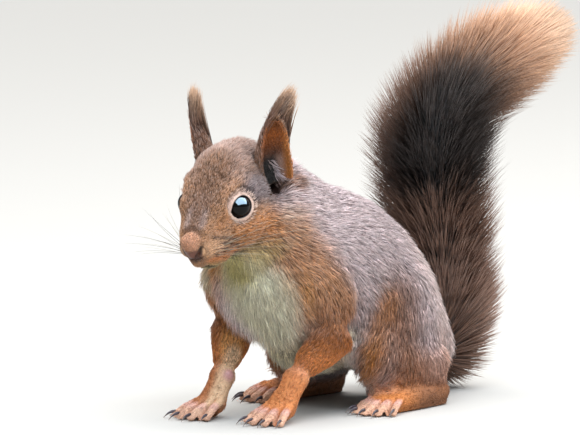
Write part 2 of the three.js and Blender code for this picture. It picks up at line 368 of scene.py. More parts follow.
def melted():
    joined = bmesh.new()
    for name in FLESH:
        part = bmesh.new()
        part.from_mesh(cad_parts[name].data)
        bmesh.ops.remove_doubles(part, verts=part.verts, dist=1e-6)
        part.normal_update()
        for v in part.verts:
            v.co += v.normal * OVERLAP * MM
        swollen = bpy.data.meshes.new(name + "_swollen")
        part.to_mesh(swollen)
        part.free()
        joined.from_mesh(swollen)
        bpy.data.meshes.remove(swollen)
    tail = bmesh.new()
    rod(tail, tail_rings(), 20)
    rod_mesh = bpy.data.meshes.new("tail_rod")
    tail.to_mesh(rod_mesh)
    tail.free()
    joined.from_mesh(rod_mesh)
    mesh = bpy.data.meshes.new("melted")
    joined.to_mesh(mesh)
    joined.free()
    lump = bpy.data.objects.new("melted", mesh)
    bpy.context.scene.collection.objects.link(lump)
    remesh = lump.modifiers.new("melt", "REMESH")
    remesh.mode, remesh.voxel_size = "VOXEL", VOXEL * MM
    done = bpy.data.meshes.new_from_object(lump.evaluated_get(bpy.context.evaluated_depsgraph_get()))
    bpy.data.objects.remove(lump)
    return done


skin_mesh = melted()
print("melted skin:", len(skin_mesh.vertices), "points")

# %% [markdown]
# ## Which part is which
#
# The coat's length, the sink of the skin and the way the hair lies all depend on the part of the body. Each point of
# the skin takes the name of the frame's nearest solid, and a value given by part is then blurred over the skin, so
# that nothing changes at a hard line.

# %% Name every point of the skin
PARTS = ["head", "neck", "trunk", "upper_arm", "forearm", "forepaw", "thigh", "shank", "hind_foot", "tail"]


def marks_of(names):
    """Points all over the frame's solids, with the number of the part that each is on."""
    spots, numbers = [], []
    for name in names:
        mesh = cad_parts[name].data
        part = next(i for i, p in enumerate(PARTS) if name.startswith(p))
        here = [tuple(v.co) for v in mesh.vertices] + [tuple(p.center) for p in mesh.polygons]
        spots += here
        numbers += [part] * len(here)
    return np.array(spots) / MM, np.array(numbers)


def nearest(points, spots):
    """For each point, the number of the nearest spot and its distance."""
    tree = KDTree(len(spots))
    for i, s in enumerate(spots):
        tree.insert(s, i)
    tree.balance()
    found = [tree.find(p)[1:] for p in points]
    return np.array([f[0] for f in found]), np.array([f[1] for f in found])


class Skin:
    """The skin's points in millimetres, with its edges, triangles and normals."""

    def __init__(self, mesh):
        self.mesh = mesh
        self.read()

    def read(self):
        mesh = self.mesh
        self.points = np.empty(len(mesh.vertices) * 3)
        mesh.vertices.foreach_get("co", self.points)
        self.points = self.points.reshape(-1, 3) / MM
        self.edges = np.empty(len(mesh.edges) * 2, int)
        mesh.edges.foreach_get("vertices", self.edges)
        self.edges = self.edges.reshape(-1, 2)
        self.count = np.bincount(self.edges.ravel(), minlength=len(self.points)).astype(float)
        mesh.calc_loop_triangles()
        self.triangles = np.empty(len(mesh.loop_triangles) * 3, int)
        mesh.loop_triangles.foreach_get("vertices", self.triangles)
        self.triangles = self.triangles.reshape(-1, 3)

    def write(self):
        self.mesh.vertices.foreach_set("co", (self.points * MM).ravel())
        self.mesh.update()

    def normals(self):
        a, b, c = (self.points[self.triangles[:, i]] for i in range(3))
        faces = np.cross(b - a, c - a)
        total = np.zeros_like(self.points)
        for axis in range(3):
            for corner in range(3):
                total[:, axis] += np.bincount(self.triangles[:, corner], faces[:, axis], len(total))
        return unit(total)

    def blurred(self, values, times):
        """Values, one for each point, averaged with their neighbours' a number of times."""
        values = np.asarray(values, float)
        flat = values.reshape(len(values), -1).copy()
        i, j = self.edges.T
        for _ in range(times):
            for k in range(flat.shape[1]):
                near = np.bincount(i, flat[j, k], len(flat)) + np.bincount(j, flat[i, k], len(flat))
                flat[:, k] = 0.4 * flat[:, k] + 0.6 * near / np.maximum(self.count, 1)
        return flat.reshape(values.shape)


skin = Skin(skin_mesh)
spots, spot_parts = marks_of([n for n in FLESH])
which, far = nearest(skin.points, spots)
skin.part = spot_parts[which]
tail_far = to_path(skin.points, TAIL)
skin.part[(tail_far < 10.5) & (far > 2.0) & (skin.points[:, 1] > 36)] = PARTS.index("tail")
print({p: int((skin.part == i).sum()) for i, p in enumerate(PARTS)})

# %% [markdown]
# ## Sinking the skin by the coat's depth
#
# The solids reach out to the tips of the coat, so the skin lies inside them: by a millimetre or less on the nose and
# feet, and by some three on the back and haunches. The facets of the solids are ironed out first.

# %% Smooth it and sink it
def by_part(**values):
    return np.array([values[p] for p in PARTS], float)[skin.part]


def part_of(*names):
    return np.isin(skin.part, [PARTS.index(n) for n in names])


SINK = by_part(
    head=1.8, neck=2.8, trunk=2.9, upper_arm=2.2, forearm=1.0, forepaw=0.4, thigh=2.9, shank=2.0, hind_foot=0.7, tail=0
)
in_head = to_head(skin.points)
is_head = part_of("head")
SINK[is_head] = np.interp(in_head[is_head, 1], (0, 8, 20, 35, 60), (0.15, 0.25, 0.4, 0.8, 2.2))
feet = part_of("forepaw", "hind_foot")
stiff = skin.blurred(feet.astype(float), 4)[:, None]
firm = skin.blurred((is_head & (in_head[:, 1] < 45)).astype(float), 6)[:, None]
limbs = part_of("upper_arm", "forearm", "shank", "tail")
firm = np.maximum(firm, skin.blurred(limbs.astype(float), 6)[:, None])
light, middle, strong = (skin.blurred(skin.points, n) for n in (3, 12, 40))
skin.points = light * stiff + (middle * firm + strong * (1 - firm)) * (1 - stiff)
# the nape is blurred once more, so that the crown runs on into the back
nape = smooth_step(38, 50, in_head[:, 1]) * smooth_step(78, 64, in_head[:, 1]) * smooth_step(6, 14, in_head[:, 2])
skin.points += (skin.blurred(skin.points, 90) - skin.points) * skin.blurred(nape, 10)[:, None]
sink = skin.blurred(SINK, 40) + OVERLAP
sink = np.minimum(sink, np.maximum(skin.points[:, 2] - 0.6, 0.0) + 0.4)
skin.points -= skin.blurred(skin.normals(), 2) * sink[:, None]
skin.points = skin.points * 0.5 + skin.blurred(skin.points, 2) * 0.5
skin.points[:, 2] = np.maximum(skin.points[:, 2], 0.15)
skin.write()
print("sunk by", sink.min().round(2), "to", sink.max().round(2), "mm")

# %% Fewer points where the body is plain
def thinned(mesh, plain, ratio):
    """The mesh with points taken out only where plain is true."""
    lump = bpy.data.objects.new("thinned", mesh)
    bpy.context.scene.collection.objects.link(lump)
    lump.vertex_groups.new(name="plain").add(np.nonzero(plain)[0].tolist(), 1.0, "ADD")
    thin = lump.modifiers.new("thin", "DECIMATE")
    thin.ratio, thin.vertex_group = ratio, "plain"
    done = bpy.data.meshes.new_from_object(lump.evaluated_get(bpy.context.evaluated_depsgraph_get()))
    bpy.data.objects.remove(lump)
    return done


plain = part_of("neck", "trunk", "thigh", "shank", "tail")
before, parts_before = skin.points, skin.part
skin = Skin(thinned(skin.mesh, plain, 0.56))
skin.part = parts_before[nearest(skin.points, before)[0]]
print("thinned to", len(skin.points), "points")

# %% Where each toe is
def fan_of_toes(base, spread, steps, reaches, turn, fan, thick, drop):
    """(start, direction, reach, thickness) of each toe of one foot, in millimetres."""
    for k, reach in zip(steps, reaches):
        angle = math.radians(turn + fan * k)
        start = np.array((base[0] + spread * k, base[1] + drop * abs(k), 6.2))
        yield start, np.array((math.sin(angle), -math.cos(angle), 0.0)), reach, thick


FORE, HIND = (-1.5, -0.5, 0.5, 1.5), (-2, -1, 0, 1, 2)
FORE_REACH, HIND_REACH = (13, 15, 15, 13), (12.5, 16, 16, 16, 12.5)
TOES = {
    "fore_left": list(fan_of_toes((20, -76.9), 4, FORE, FORE_REACH, 4, 11, 2.35, 1.2)),
    "fore_right": list(fan_of_toes((-13, -82.9), 4, FORE, FORE_REACH, -6, 11, 2.35, 1.2)),
    "hind_left": list(fan_of_toes((31, -22.4), 3.7, HIND, HIND_REACH, 4, 8, 2.3, 1.4)),
}
TOES["hind_right"] = [(s * (-1, 1, 1), d * (-1, 1, 1), r, t) for s, d, r, t in TOES["hind_left"]]
WRIST_PAD = np.array((-8.5, -74.8, 17.4))

# %% [markdown]
# ## Modelling the face
#
# A squirrel's face is read from a few small forms: the ball of the nose with its comma-shaped nostrils, the slit of the
# mouth tucked under the lip, the brow over the eye and the hollow in front of it. A skin of millimetre squares can't
# hold them, nor the gaps between the toes, so face and toes are subdivided first. The chin is drawn back under the
# lip, as a rodent's is. Then each form is pressed in or raised round a landmark given in the head's frame, which is
# how a sculptor's thumb works, and what is done on one side is done on the other.

# %% A finer mesh on the face
def finer(mesh, wanted):
    bm = bmesh.new()
    bm.from_mesh(mesh)
    bm.verts.ensure_lookup_table()
    edges = [e for e in bm.edges if wanted[e.verts[0].index] and wanted[e.verts[1].index]]
    bmesh.ops.subdivide_edges(bm, edges=edges, cuts=1, use_grid_fill=True)
    bmesh.ops.triangulate(bm, faces=[f for f in bm.faces if len(f.verts) > 4])
    bm.to_mesh(mesh)
    bm.free()


def near_toes(points, radius):
    near = np.zeros(len(points), bool)
    for toes in TOES.values():
        for start, way, reach, _ in toes:
            near |= to_segment(points, start + (0, 0, -1), start + way * (reach + 4) + (0, 0, -4.5))[0] < radius
    return near


before, parts_before = skin.points.copy(), skin.part
in_head = to_head(skin.points)
finer(skin.mesh, (part_of("head") & (in_head[:, 1] < 34)) | near_toes(skin.points, 4.2))
skin.read()
skin.part = parts_before[nearest(skin.points, before)[0]]
print("skin:", len(skin.points), "points,", len(skin.triangles), "triangles")

# %% Press and raise
def falloff(far, radius):
    return np.clip(1 - (far / radius) ** 2, 0, 1) ** 2


def mirrored(path):
    return [(-x, y, z) for x, y, z in path]


def sculpt(points, normals, forms):
    """Raises (or presses, where the height is negative) the skin along each path, in the head's frame."""
    h = to_head(points)
    lift = np.zeros(len(points))
    tree = BVHTree.FromPolygons([tuple(p) for p in points], [tuple(t) for t in skin.triangles.tolist()])
    for path, radius, height in forms:
        for side in (path, mirrored(path)) if any(abs(x) > 0.01 for x, _, _ in path) else (path,):
            on_skin = [np.array(tree.find_nearest(Vector(p))[0]) for p in from_head(side)]
            near = np.linalg.norm(h - to_head(np.mean(on_skin, axis=0)), axis=1) < radius + 20
            far = to_path(points[near], on_skin * 2 if len(on_skin) == 1 else on_skin)
            lift[near] += height * falloff(far, radius)
    return points + normals * lift[:, None]


MOUTH = [(0, 7.4, -11.8), (2.8, 9.8, -13.0), (4.7, 12.6, -13.6), (6.4, 16.2, -14.0)]
NOSTRIL = [(2.7, 1.9, -4.8), (3.9, 2.6, -2.7), (4.0, 3.5, -0.8)]  # it curls back from the hole
SOFT_FORMS = [
    ([(0, -0.5, 0.4)], 5.0, 0.55),  # ball of the nose
    ([(-3.6, 6.0, 2.6), (0, 6.6, 5.0), (3.6, 6.0, 2.6)], 2.4, -0.55),  # dip behind it
    ([(6.0, 8.0, -5.5)], 5.5, 0.5),  # whisker pad
    ([(8.5, 13, 2.0), (10.5, 18, 4.5)], 3.4, -0.6),  # hollow in front of the eye
    ([(9.0, 19, 10.5), (11.5, 25, 13.0), (13.5, 31, 13.5)], 6.5, 1.5),  # brow
    ([(7.5, 15, 12.5), (9.0, 22, 16.0)], 7.0, 1.3),  # edge of the forehead
    ([(12.5, 20, -3.0), (16, 30, -3.5)], 4.5, 0.5),  # cheekbone
    ([(0, 1.8, -4.8)], 3.4, 1.0),  # underside of the nose
    ([(0, 5.5, -8.5), (2.8, 9.5, -11.0), (5.4, 14.0, -11.8)], 4.6, 1.7),  # upper lip
]
FINE_FORMS = [
    ([(2.7, 1.9, -4.8)], 1.5, -1.7),  # nostril
    (NOSTRIL, 1.0, -1.2),  # its slit
    ([(0, 1.6, -5.8), (0, 5.2, -9.8)], 0.8, -0.5),  # groove from nose to lip
    (MOUTH, 1.1, -1.3),  # mouth
]
CHIN_BACK = 5.2
in_head = to_head(skin.points)
chin = CHIN_BACK * smooth_step(-3.0, -12.0, in_head[:, 2]) * smooth_step(17, 3, in_head[:, 1]) * part_of("head")
skin.points += chin[:, None] * TURN[:, 1]
skin.points = sculpt(skin.points, skin.normals(), SOFT_FORMS)
skin.points = sculpt(skin.points, skin.normals(), FINE_FORMS)

# %% [markdown]
# ## Eyes and lids
#
# The eye is a ball a little over ten millimetres across, of which the lids leave about eight showing. Here it is a
# sphere with a slight cornea, in a socket pressed into the skin. The lid is a ring turned round the eye's own axis: a
# dark wet margin that hugs the ball, and a pale rim that runs out under the fur. It is drawn out to a point at the
# inner corner. Ring and skin are one mesh.

# %% Eyeballs
EYE_AXIS = unit(np.array((0.85, -0.45, 0.25)))  # the way the left eye looks
INNER_CORNER = np.array((-3.5, -3.5, -2.8))
OPENING = 4.3
EYE_SINK = 0.95


def eye_frame(side):
    """Centre, and the axes of one eye: to its inner corner, across, and the way it looks."""
    flip = np.array((side, 1, 1))
    look = EYE_AXIS * flip
    corner = INNER_CORNER * flip
    corner = unit(corner - look * (corner @ look))
    across = np.cross(look, corner)
    middle = np.array((side * EYE_SIDE, EYE_BACK, EYE_UP)) - look * EYE_SINK
    place = np.stack([corner, across, look], axis=1)
    return from_head(middle), TURN @ place


def placed(mesh_bm, middle, axes):
    """Sets a small bmesh, in millimetres in its own axes, at its place in metres."""
    m = Matrix.Identity(4)
    for i in range(3):
        for j in range(3):
            m[i][j] = axes[i][j] * MM
        m[i][3] = middle[i] * MM
    bmesh.ops.transform(mesh_bm, matrix=m, verts=mesh_bm.verts)
    bmesh.ops.recalc_face_normals(mesh_bm, faces=mesh_bm.faces)


def eyeball_mesh(side):
    bm = bmesh.new()
    bmesh.ops.create_uvsphere(bm, u_segments=48, v_segments=32, radius=EYE_RADIUS - 0.05)
    for v in bm.verts:
        bulge = smooth_step(0.62, 1.0, v.co.z / EYE_RADIUS)
        v.co *= 1 + 0.03 * float(bulge)
    placed(bm, *eye_frame(side))
    mesh = bpy.data.meshes.new("eyeball")
    bm.to_mesh(mesh)
    bm.free()
    mesh.shade_smooth()
    return mesh


def wet_eye(wire):
    where = wire.node("TexCoord", out=3)
    cloud = wire.node("TexNoise", {}, {"Vector": where, "Scale": 1400.0, "Detail": 3.0})
    return {
        "Base Color": cloud.mixed(rgba(0.4, 0.3, 0.3), rgba(1.6, 0.9, 0.7)),
        "Roughness": 0.04,
        "IOR": 1.25,
    }


eye_finish = material("wet_eye", wet_eye)
eyeballs = [
    add_piece(f"eyeball_{name}", eyeball_mesh(side), eye_finish, [f"eye_{name}"])
    for name, side in (("left", 1), ("right", -1))
]

# %% A light for the eyes
# A portrait photographer sets one box for the window in the eyes and keeps it off the coat.
for_eyes = bpy.data.collections.new("for_eyes")
for ball in eyeballs:
    for_eyes.objects.link(ball)
catch = soft_box("catch_box", 82, 54, 1.4, (3.3, 1.75), 1250, (0.52, 0.78, 1.0))
catch.light_linking.receiver_collection = for_eyes

# %% Lids
LID_PROFILE = ((0, -0.7), (0, 0.08), (0.16, 0.30), (0.42, 0.38), (0.8, 0.34), (1.3, 0.20), (1.8, -0.05), (2.1, -1.2))


def ball_height(r):
    return math.sqrt(max(EYE_RADIUS**2 - min(r, EYE_RADIUS * 0.985) ** 2, 0))


def lid_height(r):
    """Height of the lid above the eye's middle at a distance from its axis: it leaves the ball as it goes out."""
    edge = ball_height(OPENING)
    return edge - 0.36 * (r - OPENING) - 0.035 * (r - OPENING) ** 2


def drawn_out(turn):
    """How much further out than its mean the lid's edge is, by the angle from the inner corner."""
    return 0.30 * math.cos(2 * turn) + 0.92 * math.exp(-((turn / 0.42) ** 2))


def lid_mesh(side, steps=72):
    bm = bmesh.new()
    profile = []
    for out, up in LID_PROFILE:
        base = ball_height(OPENING) if out == 0 else lid_height(OPENING + out)
        profile.append((OPENING + out, base + up))
    verts = [bm.verts.new((r, 0, h)) for r, h in profile]
    edges = [bm.edges.new(pair) for pair in zip(verts, verts[1:] + verts[:1])]
    bmesh.ops.spin(bm, geom=verts + edges, cent=(0, 0, 0), axis=(0, 0, 1), angle=math.tau, steps=steps, use_merge=True)
    bmesh.ops.remove_doubles(bm, verts=bm.verts, dist=1e-4)
    for v in bm.verts:
        r, turn = math.hypot(v.co.x, v.co.y), math.atan2(v.co.y, v.co.x)
        fade = math.exp(-(((r - OPENING) / 2.6) ** 2))
        drawn = drawn_out(turn) * fade
        v.co.x *= (r + drawn) / r
        v.co.y *= (r + drawn) / r
        v.co.z += ball_height(OPENING + drawn) - ball_height(OPENING)
    placed(bm, *eye_frame(side))
    mesh = bpy.data.meshes.new("lid")
    bm.to_mesh(mesh)
    bm.free()
    return mesh


def socket(points):
    """The skin drawn up to the lids, and pressed into the head behind each eye."""
    for side in (1, -1):
        middle, axes = eye_frame(side)
        local = (points - middle) @ axes
        r, height = np.hypot(local[:, 0], local[:, 1]), local[:, 2]
        rim = np.array([lid_height(x) for x in np.clip(r, 0, 12)]) - 0.05
        blend = 1 - smooth_step(OPENING + 1.2, OPENING + 4.6, r)
        wanted = height + (rim - height) * blend
        wanted = np.where(r < OPENING + 0.8, -0.5, wanted)
        mine = (r < OPENING + 4.6) & (height > -3)
        local[mine, 2] = wanted[mine]
        points = np.where(mine[:, None], middle + local @ axes.T, points)
    return points


skin.points = socket(skin.points)
skin.write()
lids = {side: Skin(lid_mesh(side)) for side in (1, -1)}
print("lids", {side: len(lid.points) for side, lid in lids.items()})

# %% [markdown]
# ## Ears
#
# An ear is a thin cup of gristle, wider than it is deep, open forwards and outwards, whose front edge folds in over the
# hole. The right way to make one is as a sheet: a grid is bent round the ear's axis, narrowed to its rounded top, and
# then given a thickness. The two ears are turned differently, because a squirrel swivels them one by one.

# %% Ears
EAR_ROOT = np.array((14.5, 49.0, 7.0))
EAR_RISE = np.array([(2.6, -0.8, -6.5), (2.4, 0, 0), (3.0, 1, 8), (4.3, 3, 16), (5.2, 5, 22.8)], float)
EAR_WIDE, EAR_DEEP = (6.4, 7.6, 7.6, 6.0, 3.8), (5.6, 6.4, 5.6, 4.0, 2.6)
EAR_FACES = {1: (0.93, -0.37, 0.0), -1: (0.82, -0.57, 0.0)}
EAR_FRONT, EAR_BACK, EAR_WALL = math.radians(125), math.radians(92), 0.8
REAR_FLARE = 1.28


def ear_mesh(side, across=30, along=36):
    rise, wide, deep = (eased(np.asarray(v, float).reshape(5, -1), 101) for v in (EAR_RISE, EAR_WIDE, EAR_DEEP))
    faces = unit(np.array(EAR_FACES[side]))
    bm = bmesh.new()
    bmesh.ops.create_grid(bm, x_segments=across, y_segments=along, size=1)
    for v in bm.verts:
        u, t = v.co.x, (v.co.y + 1) / 2
        k = min(int(round(t * 100)), 100)
        axis = unit(rise[min(k + 2, 100)] - rise[max(k - 2, 0)])
        out = np.cross(axis, faces)
        round_top = math.sqrt(max(1 - max((t - 0.72) / 0.29, 0) ** 2, 0.0025))
        turn = u * (EAR_BACK if u > 0 else EAR_FRONT) * (1 - 0.22 * t)
        open_up = 1 + 0.10 * math.cos(turn)
        w, d = wide[k, 0] * round_top * (REAR_FLARE if u > 0 else 1.0), deep[k, 0] * (0.35 + 0.65 * round_top)
        p = EAR_ROOT + rise[k] + out * w * math.sin(turn) - faces * d * math.cos(turn) * open_up
        p[0] *= side
        v.co = Vector(from_head(p[None])[0]) * MM
    bmesh.ops.smooth_vert(bm, verts=bm.verts, factor=0.5, use_axis_x=True, use_axis_y=True, use_axis_z=True)
    middle = Vector(from_head((EAR_ROOT + EAR_RISE[2] + faces * 4)[None] * (side, 1, 1))[0]) * MM
    bm.normal_update()
    inward = sum((middle - f.calc_center_median()).dot(f.normal) for f in bm.faces) > 0
    if inward:
        bmesh.ops.reverse_faces(bm, faces=bm.faces)
    bmesh.ops.solidify(bm, geom=bm.faces, thickness=EAR_WALL * MM)
    bmesh.ops.recalc_face_normals(bm, faces=bm.faces)
    mesh = bpy.data.meshes.new("ear")
    bm.to_mesh(mesh)
    bm.free()
    return mesh


ears = {side: Skin(ear_mesh(side)) for side in (1, -1)}


def in_ear(points):
    """How far inside the cup of an ear each point is, from 0 to 1."""
    h = to_head(points)
    inside = np.zeros(len(points))
    for side in (1, -1):
        faces, foot = np.array(EAR_FACES[side]), EAR_ROOT + EAR_RISE[1]
        path = [foot + faces * out + (0, 0, z) for out, z in ((0.8, -2.5), (0.3, 3.0), (-0.8, 9.0))]
        inside = np.maximum(inside, smooth_step(7.0, 5.0, to_path(h * (side, 1, 1), path)))
    return inside


def ear_hole(points):
    """The head's skin pressed in under each ear's cup."""
    inwards = np.where(to_head(points)[:, :1] > 0, -1.0, 1.0) * (0.85, 0, 0) + (0, 0.15, -0.35)
    return points + (inwards @ TURN.T) * (8.0 * in_ear(points))[:, None]


hole = in_ear(skin.points)
skin.points = ear_hole(skin.points)
skin.write()
print("ears", {side: len(ear.points) for side, ear in ears.items()})

# %% [markdown]
# ## Paws
#
# The toes of the frame's solids end in stub claws, which the melting rounded off. On the real animal a claw is horn: a
# separate, curved, sideways flattened hook that grows out of the end of the toe. So the skin is first drawn back to
# the ends of the toes, its knuckles are raised, and the claws are made as pieces of their own, each a rod through
# rings that shrink along an arc.

# %% Toes and wrists
def toe_top(forward, aside, reach, thick):
    """Height of a toe's upper side, by how far along it and how far from its middle line: it arches over its joint."""
    stations = np.array((-0.3, 0.1, 0.42, 0.66, 1.0)) * reach
    heights = np.array((6.4, 6.4, 4.6, 2.3, 1.1)) * thick / 2.35
    centre_up = np.interp(forward, stations, heights)
    knuckle = 0.7 * np.exp(-(((forward - 0.42 * reach) / 2.2) ** 2))
    half = thick * np.interp(forward, (0, 0.3 * reach, 0.6 * reach, reach), (0.95, 0.80, 0.86, 0.84))
    inside = np.sqrt(np.clip(1 - (aside / half) ** 2, 0, 1))
    beside = np.maximum(centre_up - (aside - half) * 8, 0.3)
    return np.where(aside < half, centre_up + (thick + knuckle) * inside, beside)


def paws(points):
    """The skin between the toes pressed to the floor, and drawn back from the claws."""
    points = points.copy()
    for toes in TOES.values():
        top, near = np.full(len(points), -1.0), np.zeros(len(points), bool)
        for start, way, reach, thick in toes:
            rel = points - start
            forward, aside = rel @ way, np.abs(rel @ np.cross(way, (0, 0, 1)))
            close = (forward > -0.06 * reach) & (forward < reach + 7) & (aside < 6) & (points[:, 2] < 11)
            height = toe_top(forward, aside, reach, thick)
            near |= close
            height += (points[:, 2] - height) * smooth_step(0.16, -0.06, forward / reach)
            top = np.where(close, np.maximum(top, height), top)
            over = close & (aside < 2.6) & (forward > reach + 0.3)
            points -= way * (np.where(over, forward - (reach + 0.3), 0) * 0.88)[:, None]
        low = near & (points[:, 2] > top)
        points[low, 2] = top[low]
    return points


skin.points = paws(skin.points)
is_paw = part_of("forepaw", "hind_foot")
loose = skin.blurred(is_paw.astype(float), 2)[:, None] * 0.35
skin.points += (skin.blurred(skin.points, 1) - skin.points) * loose
for wrist in ((22, -66.4, 19), (-13, -72.4, 18)):
    skin.points += skin.normals() * (1.7 * falloff(np.linalg.norm(skin.points - wrist, axis=1), 10))[:, None]
skin.points += skin.normals() * (1.1 * falloff(np.linalg.norm(skin.points - WRIST_PAD, axis=1), 3.4))[:, None]
skin.points[:, 2] = np.maximum(skin.points[:, 2], 0.15)
skin.write()

# %% Claws
def claws_mesh(toes, long=5.6):
    bm = bmesh.new()
    for start, way, reach, _ in toes:
        one = bmesh.new()
        rings = []
        for t in np.linspace(0, 1, 9):
            forward = reach - 2.4 + long * t
            height = 2.7 + 1.3 * t - 3.65 * t * t
            size = 1.0 - t**1.6 * 0.88
            across = np.cross(way, (0, 0, 1))
            slope = unit(way + np.array((0, 0, (1.3 - 7.3 * t) / long)))
            centre_mm = np.array((start[0], start[1], 0)) + way * forward + (0, 0, max(height, 0.4))
            rings.append((centre_mm * MM, across * 0.45 * size * MM, np.cross(across, slope) * 0.72 * size * MM))
        rod(one, rings, 12)
        part = bpy.data.meshes.new("claw")
        one.to_mesh(part)
        one.free()
        bm.from_mesh(part)
        bpy.data.meshes.remove(part)
    mesh = bpy.data.meshes.new("claws")
    bm.to_mesh(mesh)
    bm.free()
    mesh.shade_smooth()
    return mesh


def horn(wire):
    where = wire.node("TexCoord", out=3)
    along = wire.node("Mapping", {}, {"Vector": where, "Scale": (900.0, 180.0, 900.0)})
    streak = wire.node("TexNoise", {}, {"Vector": along, "Scale": 1.0, "Detail": 4.0})
    height = wire.node("SeparateXYZ", {}, {0: where}, out=2)
    tip = wire.node("MapRange", {}, {0: height, 1: 0.0, 2: 0.0022, 3: 1.0, 4: 0.0})
    dark = streak.mixed(rgba(34, 29, 31), rgba(96, 88, 98))
    return {
        "Base Color": (tip * 0.75).mixed(dark, rgba(176, 160, 146)),
        "Roughness": streak * 0.15 + 0.16,
        "Normal": wire.node("Bump", {}, {"Height": streak, "Strength": 0.15, "Distance": 0.0002}),
    }


horn_finish = material("horn", horn)
for foot, toes in TOES.items():
    add_piece(f"claws_{foot}", claws_mesh(toes), horn_finish)

# %% [markdown]
# ## Markings
#
# Skin and coat have to carry the same colours, or the parting of the hair shows a stranger underneath. So the
# markings are one function of a place on the body, painted as with an airbrush: a ground colour, then soft strokes
# along the places where the real animal changes, each a short path with a radius. The body's strokes are given beside
# the spine, and the face's in the head's frame, so one stroke does both sides.

# %% Airbrush
def beside_spine(points):
    """Points with x as the distance from the body's middle plane, which leans a little to the left in front."""
    q = np.array(points, float)
    q[:, 0] = np.abs(q[:, 0] - np.interp(q[:, 1], (-90, 20), (9.0, 0.0)))
    return q


class Airbrush:
    """The colours of a set of points, painted over stroke by stroke."""

    def __init__(self, points, normals, ground):
        self.normals = normals
        self.body, self.face = beside_spine(points), to_head(points)
        self.face[:, 0] = np.abs(self.face[:, 0])
        self.raw = points
        self.colours = np.tile(linear(*ground), (len(points), 1))

    def lay(self, colour, mask):
        self.colours += (linear(*colour) - self.colours) * mask[:, None]

    def stroke(self, colour, where, path, radius, soft=6.0, strength=1.0, facing=None):
        """One stroke along a path, in the points of self.body, self.face or self.raw."""
        if len(path) == 1:
            path = path * 2
        far = to_path(where, [np.asarray(p, float) for p in path])
        mask = strength * (1 - smooth_step(radius - soft / 2, radius + soft / 2, far))
        if facing:
            way, low, high = facing
            mask = mask * smooth_step(low, high, self.normals @ unit(np.asarray(way, float)))
        self.lay(colour, mask)


# %% Markings of body, legs and face
def in_bib(points):
    """How far inside the bib each point is, from 0 to 1: wide at the throat, it narrows towards the left foreleg."""
    flat = points * (1, 0.4, 1)
    inside = np.zeros(len(points))
    for path, radius in (
        ([(5, -37, 66), (7, -36, 58)], 12.5),
        ([(10, -35, 55), (10.5, -35, 52)], 14.0),
        ([(11, -34, 51), (12, -32, 46)], 10.5),
        ([(12, -32, 46), (14, -30, 40)], 5.5),
    ):
        far = to_path(flat, [np.array(p, float) for p in path])
        inside = np.maximum(inside, 1 - smooth_step(radius - 3, radius + 3, far))
    return inside


